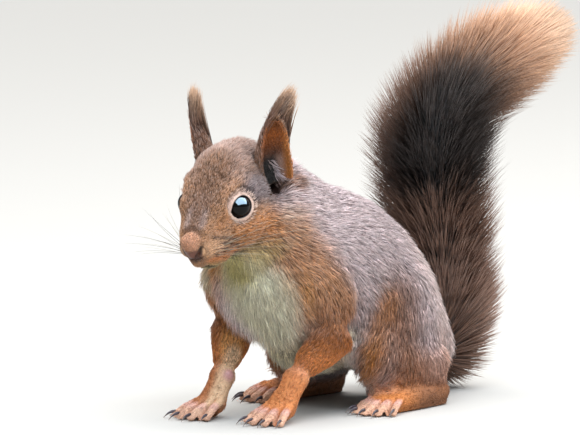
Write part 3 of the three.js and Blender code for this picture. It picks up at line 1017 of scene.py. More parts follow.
def markings(points, normals, of):
    """The coat's colours; of(names) says how much each point belongs to those parts, from 0 to 1."""
    brush = Airbrush(points, normals, (208, 193, 197))
    body, face, raw = brush.body, brush.face, brush.raw

    # flank, shoulder and haunch
    brush.stroke((192, 142, 104), body, [(16, -76, 76), (21, -66, 62), (25, -55, 48)], 13, 14)
    # the rump's grey, painted paler than the flank as painted light where the rim light falls
    brush.stroke((236, 216, 212), body, [(20, 22, 60), (22, 36, 25)], 24, 20, 0.8)
    brush.stroke((150, 104, 76), body, [(33, -16, 50), (34, -14, 32), (33, -10, 14)], 11, 18, 0.95)
    brush.stroke((180, 116, 52), body, [(31, -22, 48), (28, -27, 34), (26, -30, 16)], 7, 9)
    brush.stroke((214, 204, 168), body, [(20, -44, 34), (22, -33, 36), (28, -29, 46)], 3.2, 3)
    # belly, bib and the warm band round the bib
    keel = [np.array(p, float) for p in ((0, -52, 22), (0, -20, 20), (0, 4, 12))]
    underneath = 1 - smooth_step(22, 28, to_path(body, keel))
    brush.lay((236, 230, 198), underneath * smooth_step(-0.35, 0.1, -normals[:, 2]) * (1 - of("thigh", "shank")))
    brush.lay((178, 120, 80), of("upper_arm") * smooth_step(60, 40, raw[:, 2]) * 0.85)
    brush.stroke((206, 146, 76), body, [(16, -84, 72), (22, -74, 62), (23, -70, 50), (17, -69, 38)], 5.5, 6)
    brush.lay((206, 203, 178), in_bib(points) * (1 - of("upper_arm", "forearm")))
    brush.stroke((206, 194, 166), raw, [(-20, -77, 62), (-18, -77, 57)], 4.5, 4, 0.9)
    brush.stroke((190, 132, 86), raw, [(-19, -75, 49), (-16, -73, 41)], 5.5, 4, 0.9)
    brush.stroke((188, 152, 120), body, [(16, -83, 74), (20, -76, 77), (22, -71, 78)], 5, 5, 0.9)
    brush.stroke((172, 112, 56), body, [(16, -78, 68), (21, -73, 62), (25, -69, 55)], 3.4, 3.4, 0.9)
    brush.stroke((170, 112, 68), body, [(25, -69, 48), (20, -68, 38), (14, -67, 31)], 4.0, 4, 0.9)
    # forelegs, feet
    brush.lay((152, 90, 42), of("forearm"))
    brush.lay((212, 132, 70), of("forearm") * smooth_step(40, 22, raw[:, 2]))
    brush.stroke((228, 168, 98), raw, [(-12, -66, 38), (-8, -73, 24)], 5.5, 4, 0.8, ((1, -0.2, 0), 0.0, 0.6))
    brush.lay((218, 140, 84), of("forepaw"))
    brush.lay((176, 112, 70), of("forepaw") * smooth_step(2, -6, raw[:, 0]) * 0.8)
    inner_side = ((1, -0.3, 0.2), 0.0, 0.5)
    brush.stroke((232, 200, 164), raw, [(-8, -70, 26), (-7, -80, 12), (-9, -90, 6)], 5, 4, 0.85, inner_side)
    brush.lay((190, 126, 76), of("shank") * 0.6)
    brush.lay((212, 134, 70), of("hind_foot"))
    brush.lay((140, 92, 60), of("hind_foot") * smooth_step(-22, 0, raw[:, 1]))
    brush.stroke((196, 146, 146), raw, [WRIST_PAD], 2.6, 1.5)
    for toes in TOES.values():
        for start, way, reach, _ in toes:
            middle, end = start + way * reach * 0.55 + (0, 0, -2), start + way * reach + (0, 0, -5)
            brush.stroke((230, 190, 166), raw, [middle, end], 3.4, 3, 0.8)
            brush.stroke((226, 176, 168), raw, [start + way * reach * 0.42 + (0, 0, 0)], 2.4, 2, 0.6)
    # face
    head = of("head")
    brush.lay((168, 124, 88), head * smooth_step(52, 38, face[:, 1]))
    brush.stroke((166, 138, 126), face, [(0, 38, 22), (0, 60, 22)], 14, 12)
    brush.stroke((124, 88, 62), face, [(0, 20, 13), (0, 31, 19)], 9, 9)
    brush.stroke((118, 86, 66), face, [(0, 8, 6), (0, 18, 11)], 4.5, 4)
    brush.stroke((196, 178, 174), face, [(3.6, 13, 8.8), (3.4, 8.5, 5.6)], 1.1, 2.6, 0.42)
    brush.stroke((190, 130, 80), face, [(8, 13, 3), (10.5, 18, 5)], 2.4, 3, 0.6)
    brush.stroke((116, 104, 106), face, [(15, 34, 9), (18, 44, 4)], 6.5, 7)
    brush.stroke((190, 128, 74), face, [(14, 20, -5), (18, 34, -8)], 6, 8)
    brush.stroke((204, 160, 122), face, [(5, 6, -3), (9, 13, -4)], 3.5, 3)
    brush.stroke((212, 140, 84), face, [(5, 8, -9), (9, 17, -11)], 2.6, 3)
    # the olive of the throat, on downward-facing skin only, is painted shade with a green cast of bounced light
    brush.stroke((176, 166, 112), face, [(0, 12, -18), (0, 30, -24)], 8, 6, 1.0, ((0, -0.2, -1), -0.1, 0.5))
    brush.stroke((216, 206, 176), face, [(0, 9, -19), (0, 9, -26)], 4.5, 3, 0.8)
    # the olive along the jaw is painted shade with a green cast of bounced light
    brush.stroke((184, 160, 92), face, [(10, 24, -17), (15, 36, -18)], 4, 6, 0.7)
    brush.stroke((232, 222, 204), face, [(17, 44, -8), (17, 40, -17)], 2.6, 4, 0.6)
    brush.stroke((124, 82, 52), face, [(14.5, 52.5, -1), (19, 56.5, -1)], 4.2, 3, 0.9)
    brush.stroke((198, 146, 114), face, [(0, 1.2, -0.6), (0, 3.0, 2.4)], 3.8, 2.6)
    for whisker_row in (
        [(7.4, 8.2, 0.9), (9.6, 13.0, -2.0), (11.0, 19.0, -6.0)],
        [(6.9, 8.2, -1.6), (9.4, 13.0, -4.6), (10.4, 19.5, -9.0)],
        [(6.4, 8.4, -4.0), (8.8, 12.6, -7.0), (9.4, 17.0, -10.6)],
    ):
        brush.stroke((66, 42, 36), face, whisker_row, 0.55, 0.8, 0.9)
    # bare skin round the eye and on the nose; painted shade under the nose, in the nostril's slit and in the mouth
    for side in (1, -1):
        middle, axes = eye_frame(side)
        local = (points - middle) @ axes
        ring_mask = 1 - smooth_step(OPENING + 1.6, OPENING + 2.5, np.hypot(local[:, 0] - 0.4, local[:, 1]))
        brush.lay((222, 194, 178), ring_mask * (local[:, 2] > -1))
    brush.stroke((104, 62, 48), face, [(0, 0.9, -3.7), (2.5, 1.8, -3.9)], 2.5, 1.2)
    brush.stroke((50, 27, 23), face, [(0, 1.8, -6.0), (2.6, 2.6, -6.0)], 1.4, 1.5, 0.9)
    brush.stroke((20, 9, 7), face, NOSTRIL, 1.0, 0.8)
    brush.stroke((36, 20, 20), face, MOUTH, 1.0, 0.7)
    return brush


# %% [markdown]
# ## The lie of the coat
#
# Hair lies like grass in a stream: from the nose back over the head, from the neck to the rump, and down each leg to
# the toes. The stream is given by combing strokes. Each point takes the mean of the strokes near it, laid flat on
# the skin, and the result is blurred so that no parting shows.

# %% Comb
def toward(points, strokes):
    """The mean direction of the strokes near each point."""
    total = np.zeros_like(points)
    for path in strokes:
        for a, b in zip(path, path[1:]):
            a, b = np.asarray(a, float), np.asarray(b, float)
            far, _ = to_segment(points, a, b)
            total += ((far**2 + 16.0) ** -1.5)[:, None] * unit(b - a)
    return unit(total)


BODY_STROKES = [
    [(0, -72, 106), (0, -45, 104), (0, -10, 97), (0, 18, 76), (0, 38, 42), (0, 42, 14)],
    [(18, -82, 92), (24, -50, 88), (27, -10, 78), (28, 20, 55), (26, 34, 22)],
    [(19, -88, 76), (27, -70, 64), (33, -50, 46)],
    [(31, -50, 66), (32, -22, 52)],
    [(0, -94, 66), (0, -86, 48), (0, -72, 30), (0, -20, 20), (0, 16, 12)],
    [(14, -88, 60), (15, -78, 38)],
    [(33, 2, 56), (36, -5, 30), (33, -2, 8)],
    [(33, -16, 50), (27, -28, 26)],
    [(32, 18, 46), (31, 19, 12)],
    [(29, 20, 8), (31, -19, 6), (31, -42, 3)],
]
ARM_STROKES = [
    [(26, -57, 62), (31, -47, 38), (22, -66, 20), (20, -75, 8), (20, -94, 4)],
    [(-18, -66, 62), (-20, -59, 38), (-13, -72, 19), (-13, -81, 7), (-14, -99, 4)],
]


def lie_of(points, normals, part):
    side = np.sign(points[:, 0] - np.interp(points[:, 1], (-90, 20), (9.0, 0.0)))
    flow = toward(beside_spine(points), BODY_STROKES)
    flow[:, 0] *= side
    arms = np.isin(part, [PARTS.index(p) for p in ("upper_arm", "forearm", "forepaw")])
    flow[arms] = toward(points[arms], ARM_STROKES)
    head = part == PARTS.index("head")
    h = to_head(points[head])
    away = unit(h - np.array((0, -4.0, -1.0)))
    for s in (1, -1):
        out = h - np.array((s * EYE_SIDE, EYE_BACK, EYE_UP))
        near = np.exp(-((np.linalg.norm(out, axis=1) / 8.0) ** 4))[:, None]
        away = unit(away * (1 - 0.8 * near) + unit(out) * near * 0.9)
    late = smooth_step(28, 50, h[:, 1])[:, None]
    flow[head] = unit((away @ TURN.T) * (1 - late) + flow[head] * late)
    tail = part == PARTS.index("tail")
    along = unit(np.gradient(TAIL, axis=0))
    which, _ = nearest(points[tail], TAIL)
    flow[tail] = along[which]
    flow -= normals * np.sum(flow * normals, axis=1, keepdims=True)
    return unit(flow)


skin.normal = skin.normals()
flow = skin.blurred(lie_of(skin.points, skin.normal, skin.part), 8)
flow -= skin.normal * np.sum(flow * skin.normal, axis=1, keepdims=True)
skin.flow = unit(flow)


def share_of(*names):
    return skin.blurred(part_of(*names).astype(float), 8 if names == ("head",) else 40)


skin.colour = skin.blurred(markings(skin.points, skin.normal, share_of).colours, 2)

# %% Length, lift and width of the hair
COAT = {
    # part: length of the hair in mm, its lift in degrees, the width of a lock in mm, and how banded the hair is
    "head": (6.0, 18, 0.28, 0.6),
    "neck": (6.6, 18, 0.32, 1),
    "trunk": (6.4, 16, 0.31, 1),
    "upper_arm": (6, 17, 0.31, 0.7),
    "forearm": (4.2, 16, 0.29, 0.35),
    "forepaw": (1.9, 11, 0.2, 0.15),
    "thigh": (7.2, 18, 0.33, 0.7),
    "shank": (5, 18, 0.32, 0.4),
    "hind_foot": (2.0, 11, 0.22, 0.15),
    "tail": (7, 50, 0.45, 0.5),
}


def field(column, times):
    return skin.blurred(by_part(**{part: row[column] for part, row in COAT.items()}), times)


is_head = part_of("head")
in_head = to_head(skin.points)
face_length = np.interp(in_head[:, 1], (0, 4, 10, 18, 30, 45, 60), (0.9, 1.1, 1.6, 2.2, 3.0, 4.6, 6.5))
skin.length = field(0, 70)
on_arm = skin.blurred(part_of("forearm", "forepaw").astype(float), 6)
by_height = np.interp(skin.points[:, 2], (12, 28, 44), (1.7, 2.5, 6.0))
skin.length += (by_height - skin.length) * smooth_step(0.3, 0.9, on_arm)
for toes in TOES.values():
    for start, way, reach, _ in toes:
        far, _ = to_segment(skin.points, start + way * 2 + (0, 0, 1), start + way * reach + (0, 0, -5))
        on_toe = 1 - smooth_step(3.0, 6.5, far)
        skin.length += (1.0 - skin.length) * on_toe
nearly_head = skin.blurred(is_head.astype(float), 12)
skin.length += (face_length - skin.length) * smooth_step(0.4, 1.0, nearly_head)
belly = smooth_step(0.05, -0.6, skin.normal[:, 2]) * part_of("trunk") * smooth_step(2, -12, skin.points[:, 1])
skin.length += (9.0 - skin.length) * skin.blurred(belly, 12)
skin.lift = field(1, 8)
skin.width = field(2, 20)
skin.width = np.where(is_head, np.interp(in_head[:, 1], (0, 12, 40), (0.17, 0.22, 0.28)), skin.width)
skin.ticking = field(3, 8)


def bare_skin():
    """How bare the skin is, from 0 to 1: the nose, the lips, the eyelids' place and the pads."""
    bare = np.zeros(len(skin.points))
    folded = in_head.copy()
    folded[:, 0] = np.abs(folded[:, 0])
    for path, radius in (
        ([(0, 0.9, -3.7), (2.4, 1.8, -3.9), (3.8, 2.6, -2.6)], 2.2),
        (MOUTH, 0.6),
    ):
        far = to_path(folded, [np.array(p) for p in path])
        bare = np.maximum(bare, 1 - smooth_step(radius - 0.4, radius + 0.4, far))
    for side in (1, -1):
        middle, axes = eye_frame(side)
        local = (skin.points - middle) @ axes
        r = np.hypot(local[:, 0] - 0.4, local[:, 1])
        bare = np.maximum(bare, np.where(local[:, 2] > 0, 1 - smooth_step(OPENING + 1.1, OPENING + 1.8, r), 0))
    bare = np.maximum(bare, 1 - smooth_step(2.2, 2.9, np.linalg.norm(skin.points - WRIST_PAD, axis=1)))
    under = part_of("forepaw", "hind_foot")
    return np.maximum(bare, under * smooth_step(-0.75, -0.9, skin.normal[:, 2]))


skin.bare = np.maximum(bare_skin(), smooth_step(0.10, 0.30, hole))
# the head's skin in each ear's hole is painted near-black, as painted shade under the cup
skin.colour += (linear(30, 17, 13) - skin.colour) * smooth_step(0.03, 0.25, hole)[:, None]

# %% [markdown]
# ## Locks of hair
#
# A single hair is too thin to be worth a mesh, so each lock stands for a few that cling together: a closed spindle
# with its root in the skin, a three-cornered waist, and a fine tip. Short locks have one waist and six faces, and long
# ones have two and twelve. They are made thousands at a time, as arrays. Each lock leaves its root at an angle and
# bends over to lie along the body, and neighbours lean together into tufts.

# %% Where locks grow
def scattered(ground, chosen, count, seed):
    """Random roots on the triangles of ground that start at a chosen point, thicker where the hair is finer."""
    random = np.random.default_rng(seed)
    corners = ground.triangles[chosen[ground.triangles[:, 0]]]
    a, b, c = (ground.points[corners[:, i]] for i in range(3))
    area = np.linalg.norm(np.cross(b - a, c - a), axis=1)
    thick = (1 - ground.bare) / (ground.length * ground.width)
    share = area * thick[corners].mean(axis=1)
    rows = random.choice(len(corners), count, p=share / share.sum())
    u, v = random.random((2, count))
    u, v = np.where(u + v > 1, 1 - u, u), np.where(u + v > 1, 1 - v, v)
    share = np.stack([1 - u - v, u, v], axis=1)

    def mixed(values):
        return np.einsum("ij,ij...->i...", share, values[corners[rows]])

    return random, mixed, area.sum() / 2


SHORT = np.array([(0, 2, 1), (0, 3, 2), (0, 1, 3), (4, 1, 2), (4, 2, 3), (4, 3, 1)])
LONG = np.array(
    [(0, 2, 1), (0, 3, 2), (0, 1, 3)]
    + [(a, b, b + 3) for a, b in ((1, 2), (2, 3), (3, 1))]
    + [(a, b + 3, a + 3) for a, b in ((1, 2), (2, 3), (3, 1))]
    + [(7, 4, 5), (7, 5, 6), (7, 6, 4)]
)


def locks(path, side, up, width):
    """Spindles through (root, waist, tip) or (root, waist, waist, tip), each with its width in mm."""
    waists = []
    for k, middle in enumerate(path[1:-1]):
        w = (width * (1.0, 0.7)[k] / 2)[:, None]
        waists += [middle + side * w, middle - side * w, middle + up * w * 0.75]
    return np.stack([path[0], *waists, path[-1]], axis=1), LONG if len(path) == 4 else SHORT


PATCH = 0.003


def hair_mesh(name, points, faces, colours, places):
    """Locks as one mesh, with a colour for each point, and each lock's own patch on the map OFBake."""
    count, per = points.shape[:2]
    points[:, :, 2] = np.maximum(points[:, :, 2], 0.1)
    corners = (faces[None] + per * np.arange(count)[:, None, None]).reshape(-1, 3)
    mesh = bpy.data.meshes.new(name)
    mesh.vertices.add(count * per)
    mesh.vertices.foreach_set("co", (points * MM).ravel())
    mesh.loops.add(corners.size)
    mesh.loops.foreach_set("vertex_index", corners.ravel())
    mesh.polygons.add(len(corners))
    mesh.polygons.foreach_set("loop_start", np.arange(0, corners.size, 3))
    mesh.update(calc_edges=True)
    mesh.shade_smooth()
    paint = mesh.color_attributes.new("coat", "FLOAT_COLOR", "POINT")
    rgb = np.concatenate([colours.reshape(-1, 3), np.ones((count * per, 1))], axis=1)
    paint.data.foreach_set("color", rgb.ravel())
    long = per == 8
    across = np.array([0, 0.5, -0.5, 0.0] + ([0.35, -0.35, 0.0] if long else []) + [0])
    along = np.array([-0.5, -0.1, -0.1, -0.05] + ([0.2, 0.2, 0.25] if long else []) + [0.5])
    uv = (np.clip(places, 0.004, 0.996)[:, None, :] + np.stack([across, along], axis=1)[None] * PATCH).reshape(-1, 2)
    layer = mesh.uv_layers.new(name="OFBake")
    layer.uv.foreach_set("vector", uv[corners.ravel()].ravel())
    return mesh


# %% Unroll the skin
def unrolled(points, bones):
    """Each point's place on the skin slit along its bone and rolled out flat: angle round it, distance along it.

    Each bone is (path, the way that is up). Points go to the nearest bone, and the bones' sheets lie side by side."""
    paths = [eased(path, 61) for path, _ in bones]
    sheet = np.argmin([nearest(points, path)[1] for path in paths], axis=0)
    place = np.zeros((len(points), 2))
    for i, (path, (_, top)) in enumerate(zip(paths, bones)):
        mine = sheet == i
        if not mine.any():
            continue
        which, _ = nearest(points[mine], path)
        along = unit(np.gradient(path, axis=0))[which]
        side = unit(np.cross(along, np.asarray(top, float)))
        off = points[mine] - path[which]
        angle = np.arctan2(np.sum(off * side, axis=1), np.sum(off * np.cross(side, along), axis=1))
        step = np.linalg.norm(path[-1] - path[0]) / 60
        distance = which + np.sum(off * along, axis=1) / step
        low, high = distance.min(), distance.max()
        place[mine, 0] = (angle / math.tau + 0.5 + i) / len(bones)
        place[mine, 1] = (distance - low) / max(high - low, 1e-6)
    return place


UP = (0, 0, 1)
HEAD_BONE = [(from_head([(0, -2, -4), (0, 15, -4), (0, 35, -1), (0, 64, 0)]), TURN @ (0, 0, 1))]
BODY_BONE = [([(7, -82, 84), (5, -55, 72), (3, -20, 58), (0, 15, 42), (0, 42, 24)], UP)]
LEG_BONES = [([(s * 24, 12, 60), (s * 30, -6, 36), (s * 30, 4, 14)], (0, 1, 0)) for s in (1, -1)]
ARM_BONES = [(path[:3], (0, 1, 0)) for path in ARM_STROKES]
PAW_BONES = [(path[2:], UP) for path in ARM_STROKES]
PAW_BONES += [([(s * 30, 18, 8), (s * 31, -15, 6), (s * 31, -42, 3)], UP) for s in (1, -1)]
TAIL_BONE = [(TAIL[::5], (1, 0, 0))]

# %% Grow a coat
def in_the_way(points):
    """True where a hair would hang into an ear's cup or over an eye."""
    blocked = in_ear(points) > 0.4
    for side in (1, -1):
        middle, axes = eye_frame(side)
        local = (points - middle) @ axes
        blocked |= (np.hypot(local[:, 0], local[:, 1]) < OPENING + 0.3) & (local[:, 2] > 0)
    return blocked


def lean_together(random, roots, count):
    """For each root, the way to the heart of its tuft, and four numbers that its whole tuft shares."""
    hearts = roots[random.choice(len(roots), max(count, 1), replace=False)]
    which, _ = nearest(roots, hearts)
    return hearts[which] - roots, random.random((len(hearts), 4))[which]


def shades_of(random, tone, ticking, tuft, long, root_shade=0.55):
    """The colour of each lock at its root, waists and tip: banded like the wild coat, some pale and some dark."""
    n = len(tone)
    light = np.exp(random.normal(0, 0.21, n) + (tuft[:, 0] - 0.5) * 0.28)
    kind = random.random(n)
    pale = np.where(kind < 0.32 * ticking, 0.6, 0.0)
    dark = np.where(kind > 1 - 0.18 * ticking, 0.5, 1.0)
    frost = (linear(240, 232, 228) + tone * 1.5) / 2
    base = tone * (light * dark)[:, None]
    warm = linear(168, 104, 62)
    base += (warm * light[:, None] - base) * (0.20 * ticking * random.random(n))[:, None]
    tip = base * 1.12 + (frost - base * 1.12) * pale[:, None]
    waist, mid = base, (base + tip) / 2
    # the root is darkened by root_shade as painted shade deep in the coat, where the locks shade one another
    return np.stack([base * root_shade, *([waist] * 3), *([mid] * 3 if long else []), tip], axis=1)


def fur(wire):
    paint = wire.node("Attribute", {"attribute_name": "coat"})
    where = wire.node("TexCoord", out=3)
    grain = wire.node("TexNoise", {}, {"Vector": where, "Scale": 2600.0, "Detail": 2.0})
    patch = wire.node("TexNoise", {}, {"Vector": where, "Scale": 160.0, "Detail": 3.0})
    tinted = paint.times(grain.mixed((0.80, 0.80, 0.82, 1), (1.22, 1.20, 1.18, 1)))
    return {
        "Base Color": tinted.times(patch.mixed((0.88, 0.87, 0.88, 1), (1.12, 1.13, 1.12, 1))),
        "Roughness": grain * 0.25 + 0.42,
        "Specular IOR Level": 0.35,
        "Sheen Weight": 0.12,
        "Sheen Roughness": 0.4,
    }


coat_finish = material("fur", fur)
HAIR = 1.0


def grow_coat(name, ground, chosen, count, seed, bones, long=False, tuft_size=10, clump=0.28, gain=1.0):
    """A coat of locks on the chosen points of a skin, as one piece."""
    count = int(count * HAIR)
    random, mixed, area = scattered(ground, chosen, count, seed)
    roots, normals, flow = mixed(ground.points), unit(mixed(ground.normal)), unit(mixed(ground.flow))
    length, lift, width = mixed(ground.length), mixed(ground.lift), mixed(ground.width)
    heart, tuft = lean_together(random, roots, count // tuft_size)
    sway = random.normal(0, 0.13, count) + (tuft[:, 1] - 0.5) * 0.4
    flow = unit(flow + unit(np.cross(flow, normals)) * sway[:, None])
    side = unit(np.cross(flow, normals))
    length = length * random.uniform(0.72, 1.12, count) * (0.85 + 0.3 * tuft[:, 2])
    lift = np.radians(lift * random.uniform(0.7, 1.3, count))
    knots, bends = ((0, 0.3, 0.65, 1.0), (1.5, 1.0, 0.5)) if long else ((0, 0.45, 1.0), (1.35, 0.65))
    path = [roots - normals * np.minimum(0.3, length * 0.06)[:, None]]
    for a, b, bend in zip(knots, knots[1:], bends):
        step = flow * np.cos(lift * bend)[:, None] + normals * np.sin(lift * bend)[:, None]
        path.append(path[-1] + step * (length * (b - a))[:, None])
    for k in range(1, len(path)):
        path[k] = path[k] + heart * clump * knots[k] ** 1.5
        path[k][:, 2] = np.maximum(path[k][:, 2], 0.35)
    width = width * random.uniform(0.75, 1.25, count)
    points, faces = locks(path, side, normals, width)
    colours = shades_of(random, mixed(ground.colour) * gain, mixed(ground.ticking), tuft, long)
    if ground is skin:
        clear = ~(in_the_way(path[-1]) | in_the_way(path[1]))
        points, colours, roots = points[clear], colours[clear], roots[clear]
    print(f"{name}: {count / area:.1f} locks per mm2, {float((length * width).sum() / 2 / area):.1f} deep")
    return add_piece(name, hair_mesh(name, points, faces, colours, unrolled(roots, bones)), coat_finish)


front = in_head[:, 1] < 34
grow_coat("coat_face", skin, is_head & front, 32000, 1, HEAD_BONE)
grow_coat("coat_crown", skin, is_head & ~front, 13000, 2, HEAD_BONE)
fore_part = skin.points[:, 1] < -38
grow_coat("coat_nape", skin, part_of("neck", "trunk") & fore_part, 27000, 3, BODY_BONE)
grow_coat("coat_back", skin, part_of("trunk") & ~fore_part, 33000, 4, BODY_BONE)
grow_coat("coat_haunch", skin, part_of("thigh", "shank"), 24000, 5, LEG_BONES)
grow_coat("coat_arms", skin, part_of("upper_arm", "forearm"), 15500, 6, ARM_BONES)
grow_coat("coat_paws", skin, part_of("forepaw", "hind_foot"), 20000, 7, PAW_BONES)

# %% Hair of the lids
def tone_of_lid(side):
    """Colours of a lid: a dark wet margin, then a pale pinkish rim."""
    lid = lids[side]
    middle, axes = eye_frame(side)
    local = (lid.points - middle) @ axes
    drawn = [drawn_out(math.atan2(y, x)) for x, y in local[:, :2]]
    out = np.hypot(local[:, 0], local[:, 1]) - OPENING - drawn
    dark, pale = linear(30, 18, 18), linear(222, 194, 180)
    share = smooth_step(0.15, 0.55, out)[:, None]
    return dark + (pale - dark) * share


def dress_lid(side):
    """Short cream hair that leaves the lid's rim on all sides, past a bare margin."""
    lid = lids[side]
    middle, axes = eye_frame(side)
    local = (lid.points - middle) @ axes
    out = np.hypot(local[:, 0], local[:, 1]) - OPENING
    lid.normal = lid.normals()
    away = (local * (1, 1, 0)) @ axes.T
    away -= lid.normal * np.sum(away * lid.normal, axis=1, keepdims=True)
    lid.flow, lid.colour = unit(away), tone_of_lid(side)
    lid.length, lid.width = np.interp(out, (0.4, 1.6), (0.7, 1.3)), np.full(len(out), 0.15)
    lid.lift, lid.ticking = np.full(len(out), 13.0), np.full(len(out), 0.1)
    lid.bare = np.where(local[:, 2] > 0, 1 - smooth_step(0.5, 1.0, out), 1.0)
    return lid


for side, name in ((1, "left"), (-1, "right")):
    lid = dress_lid(side)
    everywhere = np.ones(len(lid.points), bool)
    grow_coat(f"coat_lid_{name}", lid, everywhere, 1400, 12 + side, HEAD_BONE, tuft_size=5)

# %% [markdown]
# ## The bib
#
# The white hair of the throat and chest is longer and softer than the rest. It hangs in locks that part over the arms,
# so the bib gets a second coat of long locks over the short one.

# %% Bib
def bib_ground():
    """A copy of the skin's fields with the longer, straighter hair of the bib."""
    bib = Skin(skin.mesh)
    bib.normal, bib.colour, bib.bare = skin.normal, skin.colour, skin.bare
    bib.flow = unit(skin.flow + np.array((0, 0.1, -0.35)))
    bib.length, bib.width = skin.length * 1.1 + 1.5, skin.width * 0.75
    bib.lift, bib.ticking = skin.lift * 0.9, skin.ticking * 0.15
    return bib


on_bib = (in_bib(skin.points) > 0.4) & part_of("neck", "trunk") & (skin.normal[:, 1] < -0.1)
grow_coat(
    "coat_bib", bib_ground(), on_bib, 8000, 8, BODY_BONE, long=True, tuft_size=16, clump=0.4, gain=1.05
)

# %% [markdown]
# ## The tail
#
# A squirrel's tail is a thin whip of bone and skin. All the rest is long hair, which stands off it at a slant towards
# the tip and fills a shape like a feather. The frame's solids give that shape. So every lock is drawn out from the rod
# as far as the solid reaches in its direction, which is found by casting a ray back from outside.

# %% How far the tail's hair reaches
def tree_of(names):
    joined = bmesh.new()
    for name in names:
        joined.from_mesh(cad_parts[name].data)
    bmesh.ops.remove_doubles(joined, verts=joined.verts, dist=1e-6)
    tree = BVHTree.FromBMesh(joined)
    joined.free()
    return tree


tail_tree = tree_of([n for n in sorted(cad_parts) if n.startswith("tail")])
MOST = 42.0


def reach_of(starts, ways):
    """How far out, in mm, the tail's solids go from each start."""
    reach = np.zeros(len(starts))
    for i, (s, w) in enumerate(zip(starts, ways)):
        hit = tail_tree.ray_cast(Vector((s + w * MOST) * MM), Vector(-w), MOST * MM)
        reach[i] = MOST - hit[3] / MM if hit[0] else 9.0
    return reach


# %% Tail hair
TAIL_TONES = (
    # share of the way to the tip, its ground colour, and the colour of the tips of its hair
    (0.0, (106, 76, 58), (136, 104, 86)),
    (0.25, (96, 66, 52), (124, 94, 78)),
    (0.50, (74, 47, 33), (118, 86, 68)),
    (0.66, (84, 56, 40), (128, 92, 70)),
    (0.78, (150, 104, 72), (182, 138, 104)),
    (0.88, (192, 146, 112), (214, 178, 148)),
    (1.0, (158, 124, 96), (188, 158, 132)),
)
# the near-black of the tail's hollow: partly its dark underfur, partly painted shade under the curl
HOLLOW_FUR_AND_SHADE = (5, 2, 1)


def shades_between(t, stops):
    """Colours at t, blended between stops of (place, colour)."""
    at = [place for place, _ in stops]
    shades = np.array([linear(*colour) for _, colour in stops])
    return np.stack([np.interp(t, at, shades[:, i]) for i in range(3)], axis=1)


# how far the hairs lean out from the bone, in degrees, by how far along the tail they grow
TAIL_LEAN = (0, 0.15, 0.6, 0.9, 1), (66, 58, 50, 40, 20)
LEAST_HAIR, MOST_HAIR = 5, 38
HOLLOW_FACES = (0.72, -0.62, 0.2)


def grow_tail(name, count, seed, first, last):
    count = int(count * HAIR)
    random = np.random.default_rng(seed)
    fine = eased(TAIL_LINE, 401)
    along = unit(np.gradient(fine, axis=0))
    t = np.minimum(first + (last - first) * 1.05 * random.random(count), last)
    k = np.clip((t * 400).astype(int), 0, 400)
    axis = along[k]
    one = unit(np.cross(axis, (1.0, 0.3, 0.1)))
    two = np.cross(axis, one)
    turn = random.uniform(0, math.tau, count)
    radial = one * np.cos(turn)[:, None] + two * np.sin(turn)[:, None]
    # towards the tip some hairs follow the bone itself, or one would look into an empty tube
    least = np.interp(t, (0.86, 0.97), (0.7, 0.0))
    slant = np.radians(np.interp(t, *TAIL_LEAN) * random.uniform(least, 1.15))
    out = axis * np.cos(slant)[:, None] + radial * np.sin(slant)[:, None]
    rod_radius = np.interp(t, np.linspace(0, 1, len(TAIL_RADIUS)), TAIL_RADIUS)
    roots = fine[k] + radial * (rod_radius * np.where(t > 0.97, random.uniform(0.0, 0.7, count), 0.7))[:, None]
    reach = np.clip(reach_of(roots, out), LEAST_HAIR, MOST_HAIR) * np.interp(t, (0.3, 0.5), (1.0, 1.12))
    length = reach * random.uniform(0.58, 1.05, count) ** 0.8 * np.interp(t, (0.86, 1), (1.0, 1.22))
    heart, tuft = lean_together(random, roots + out * reach[:, None], max(count // 18, 1))
    out = unit(out + random.normal(0, 0.05, (count, 3)))
    early = unit(out + radial * 0.25)
    late = unit(out + axis * 0.22 + (0, 0, -0.06))
    path = [roots]
    for way, share in ((early, 0.3), (out, 0.35), (late, 0.35)):
        path.append(path[-1] + way * (length * share)[:, None])
    for j, pull in ((2, 0.10), (3, 0.30)):
        path[j] = path[j] + heart * pull
    for p in path:
        p[:, 2] = np.maximum(p[:, 2], 0.4)
    side = unit(np.cross(out, radial + axis * 0.3))
    width = random.uniform(0.36, 0.66, count)
    points, faces = locks(path, side, unit(np.cross(side, out)), width)
    ground, ends = (shades_between(t, [(row[0], row[k]) for row in TAIL_TONES]) for k in (1, 2))
    # locks facing the hollow are painted near-black: dark fur there, and painted shade under the curl
    facing = smooth_step(0.0, 0.7, out @ HOLLOW_FACES) * smooth_step(0.38, 0.5, t) * smooth_step(0.76, 0.66, t)
    ground += (linear(*HOLLOW_FUR_AND_SHADE) - ground) * (facing * 0.96)[:, None]
    ends += (linear(*HOLLOW_FUR_AND_SHADE) - ends) * (facing * 0.9)[:, None]
    light = np.exp(random.normal(0, 0.14, count) + (tuft[:, 0] - 0.5) * 0.2)[:, None]
    ground, ends = ground * light, ends * light
    # each lock is darkened towards its root as painted shade deep in the tail's hair
    colours = np.stack([ground * 0.5, *([ground * 0.85] * 3), *([(ground + ends) / 2] * 3), ends], axis=1)
    add_piece(name, hair_mesh(name, points, faces, colours, unrolled(roots, TAIL_BONE)), coat_finish)


grow_tail("tail_hair_lower", 14500, 20, 0.08, 0.52)
grow_tail("tail_hair_upper", 15500, 21, 0.50, 1.0)
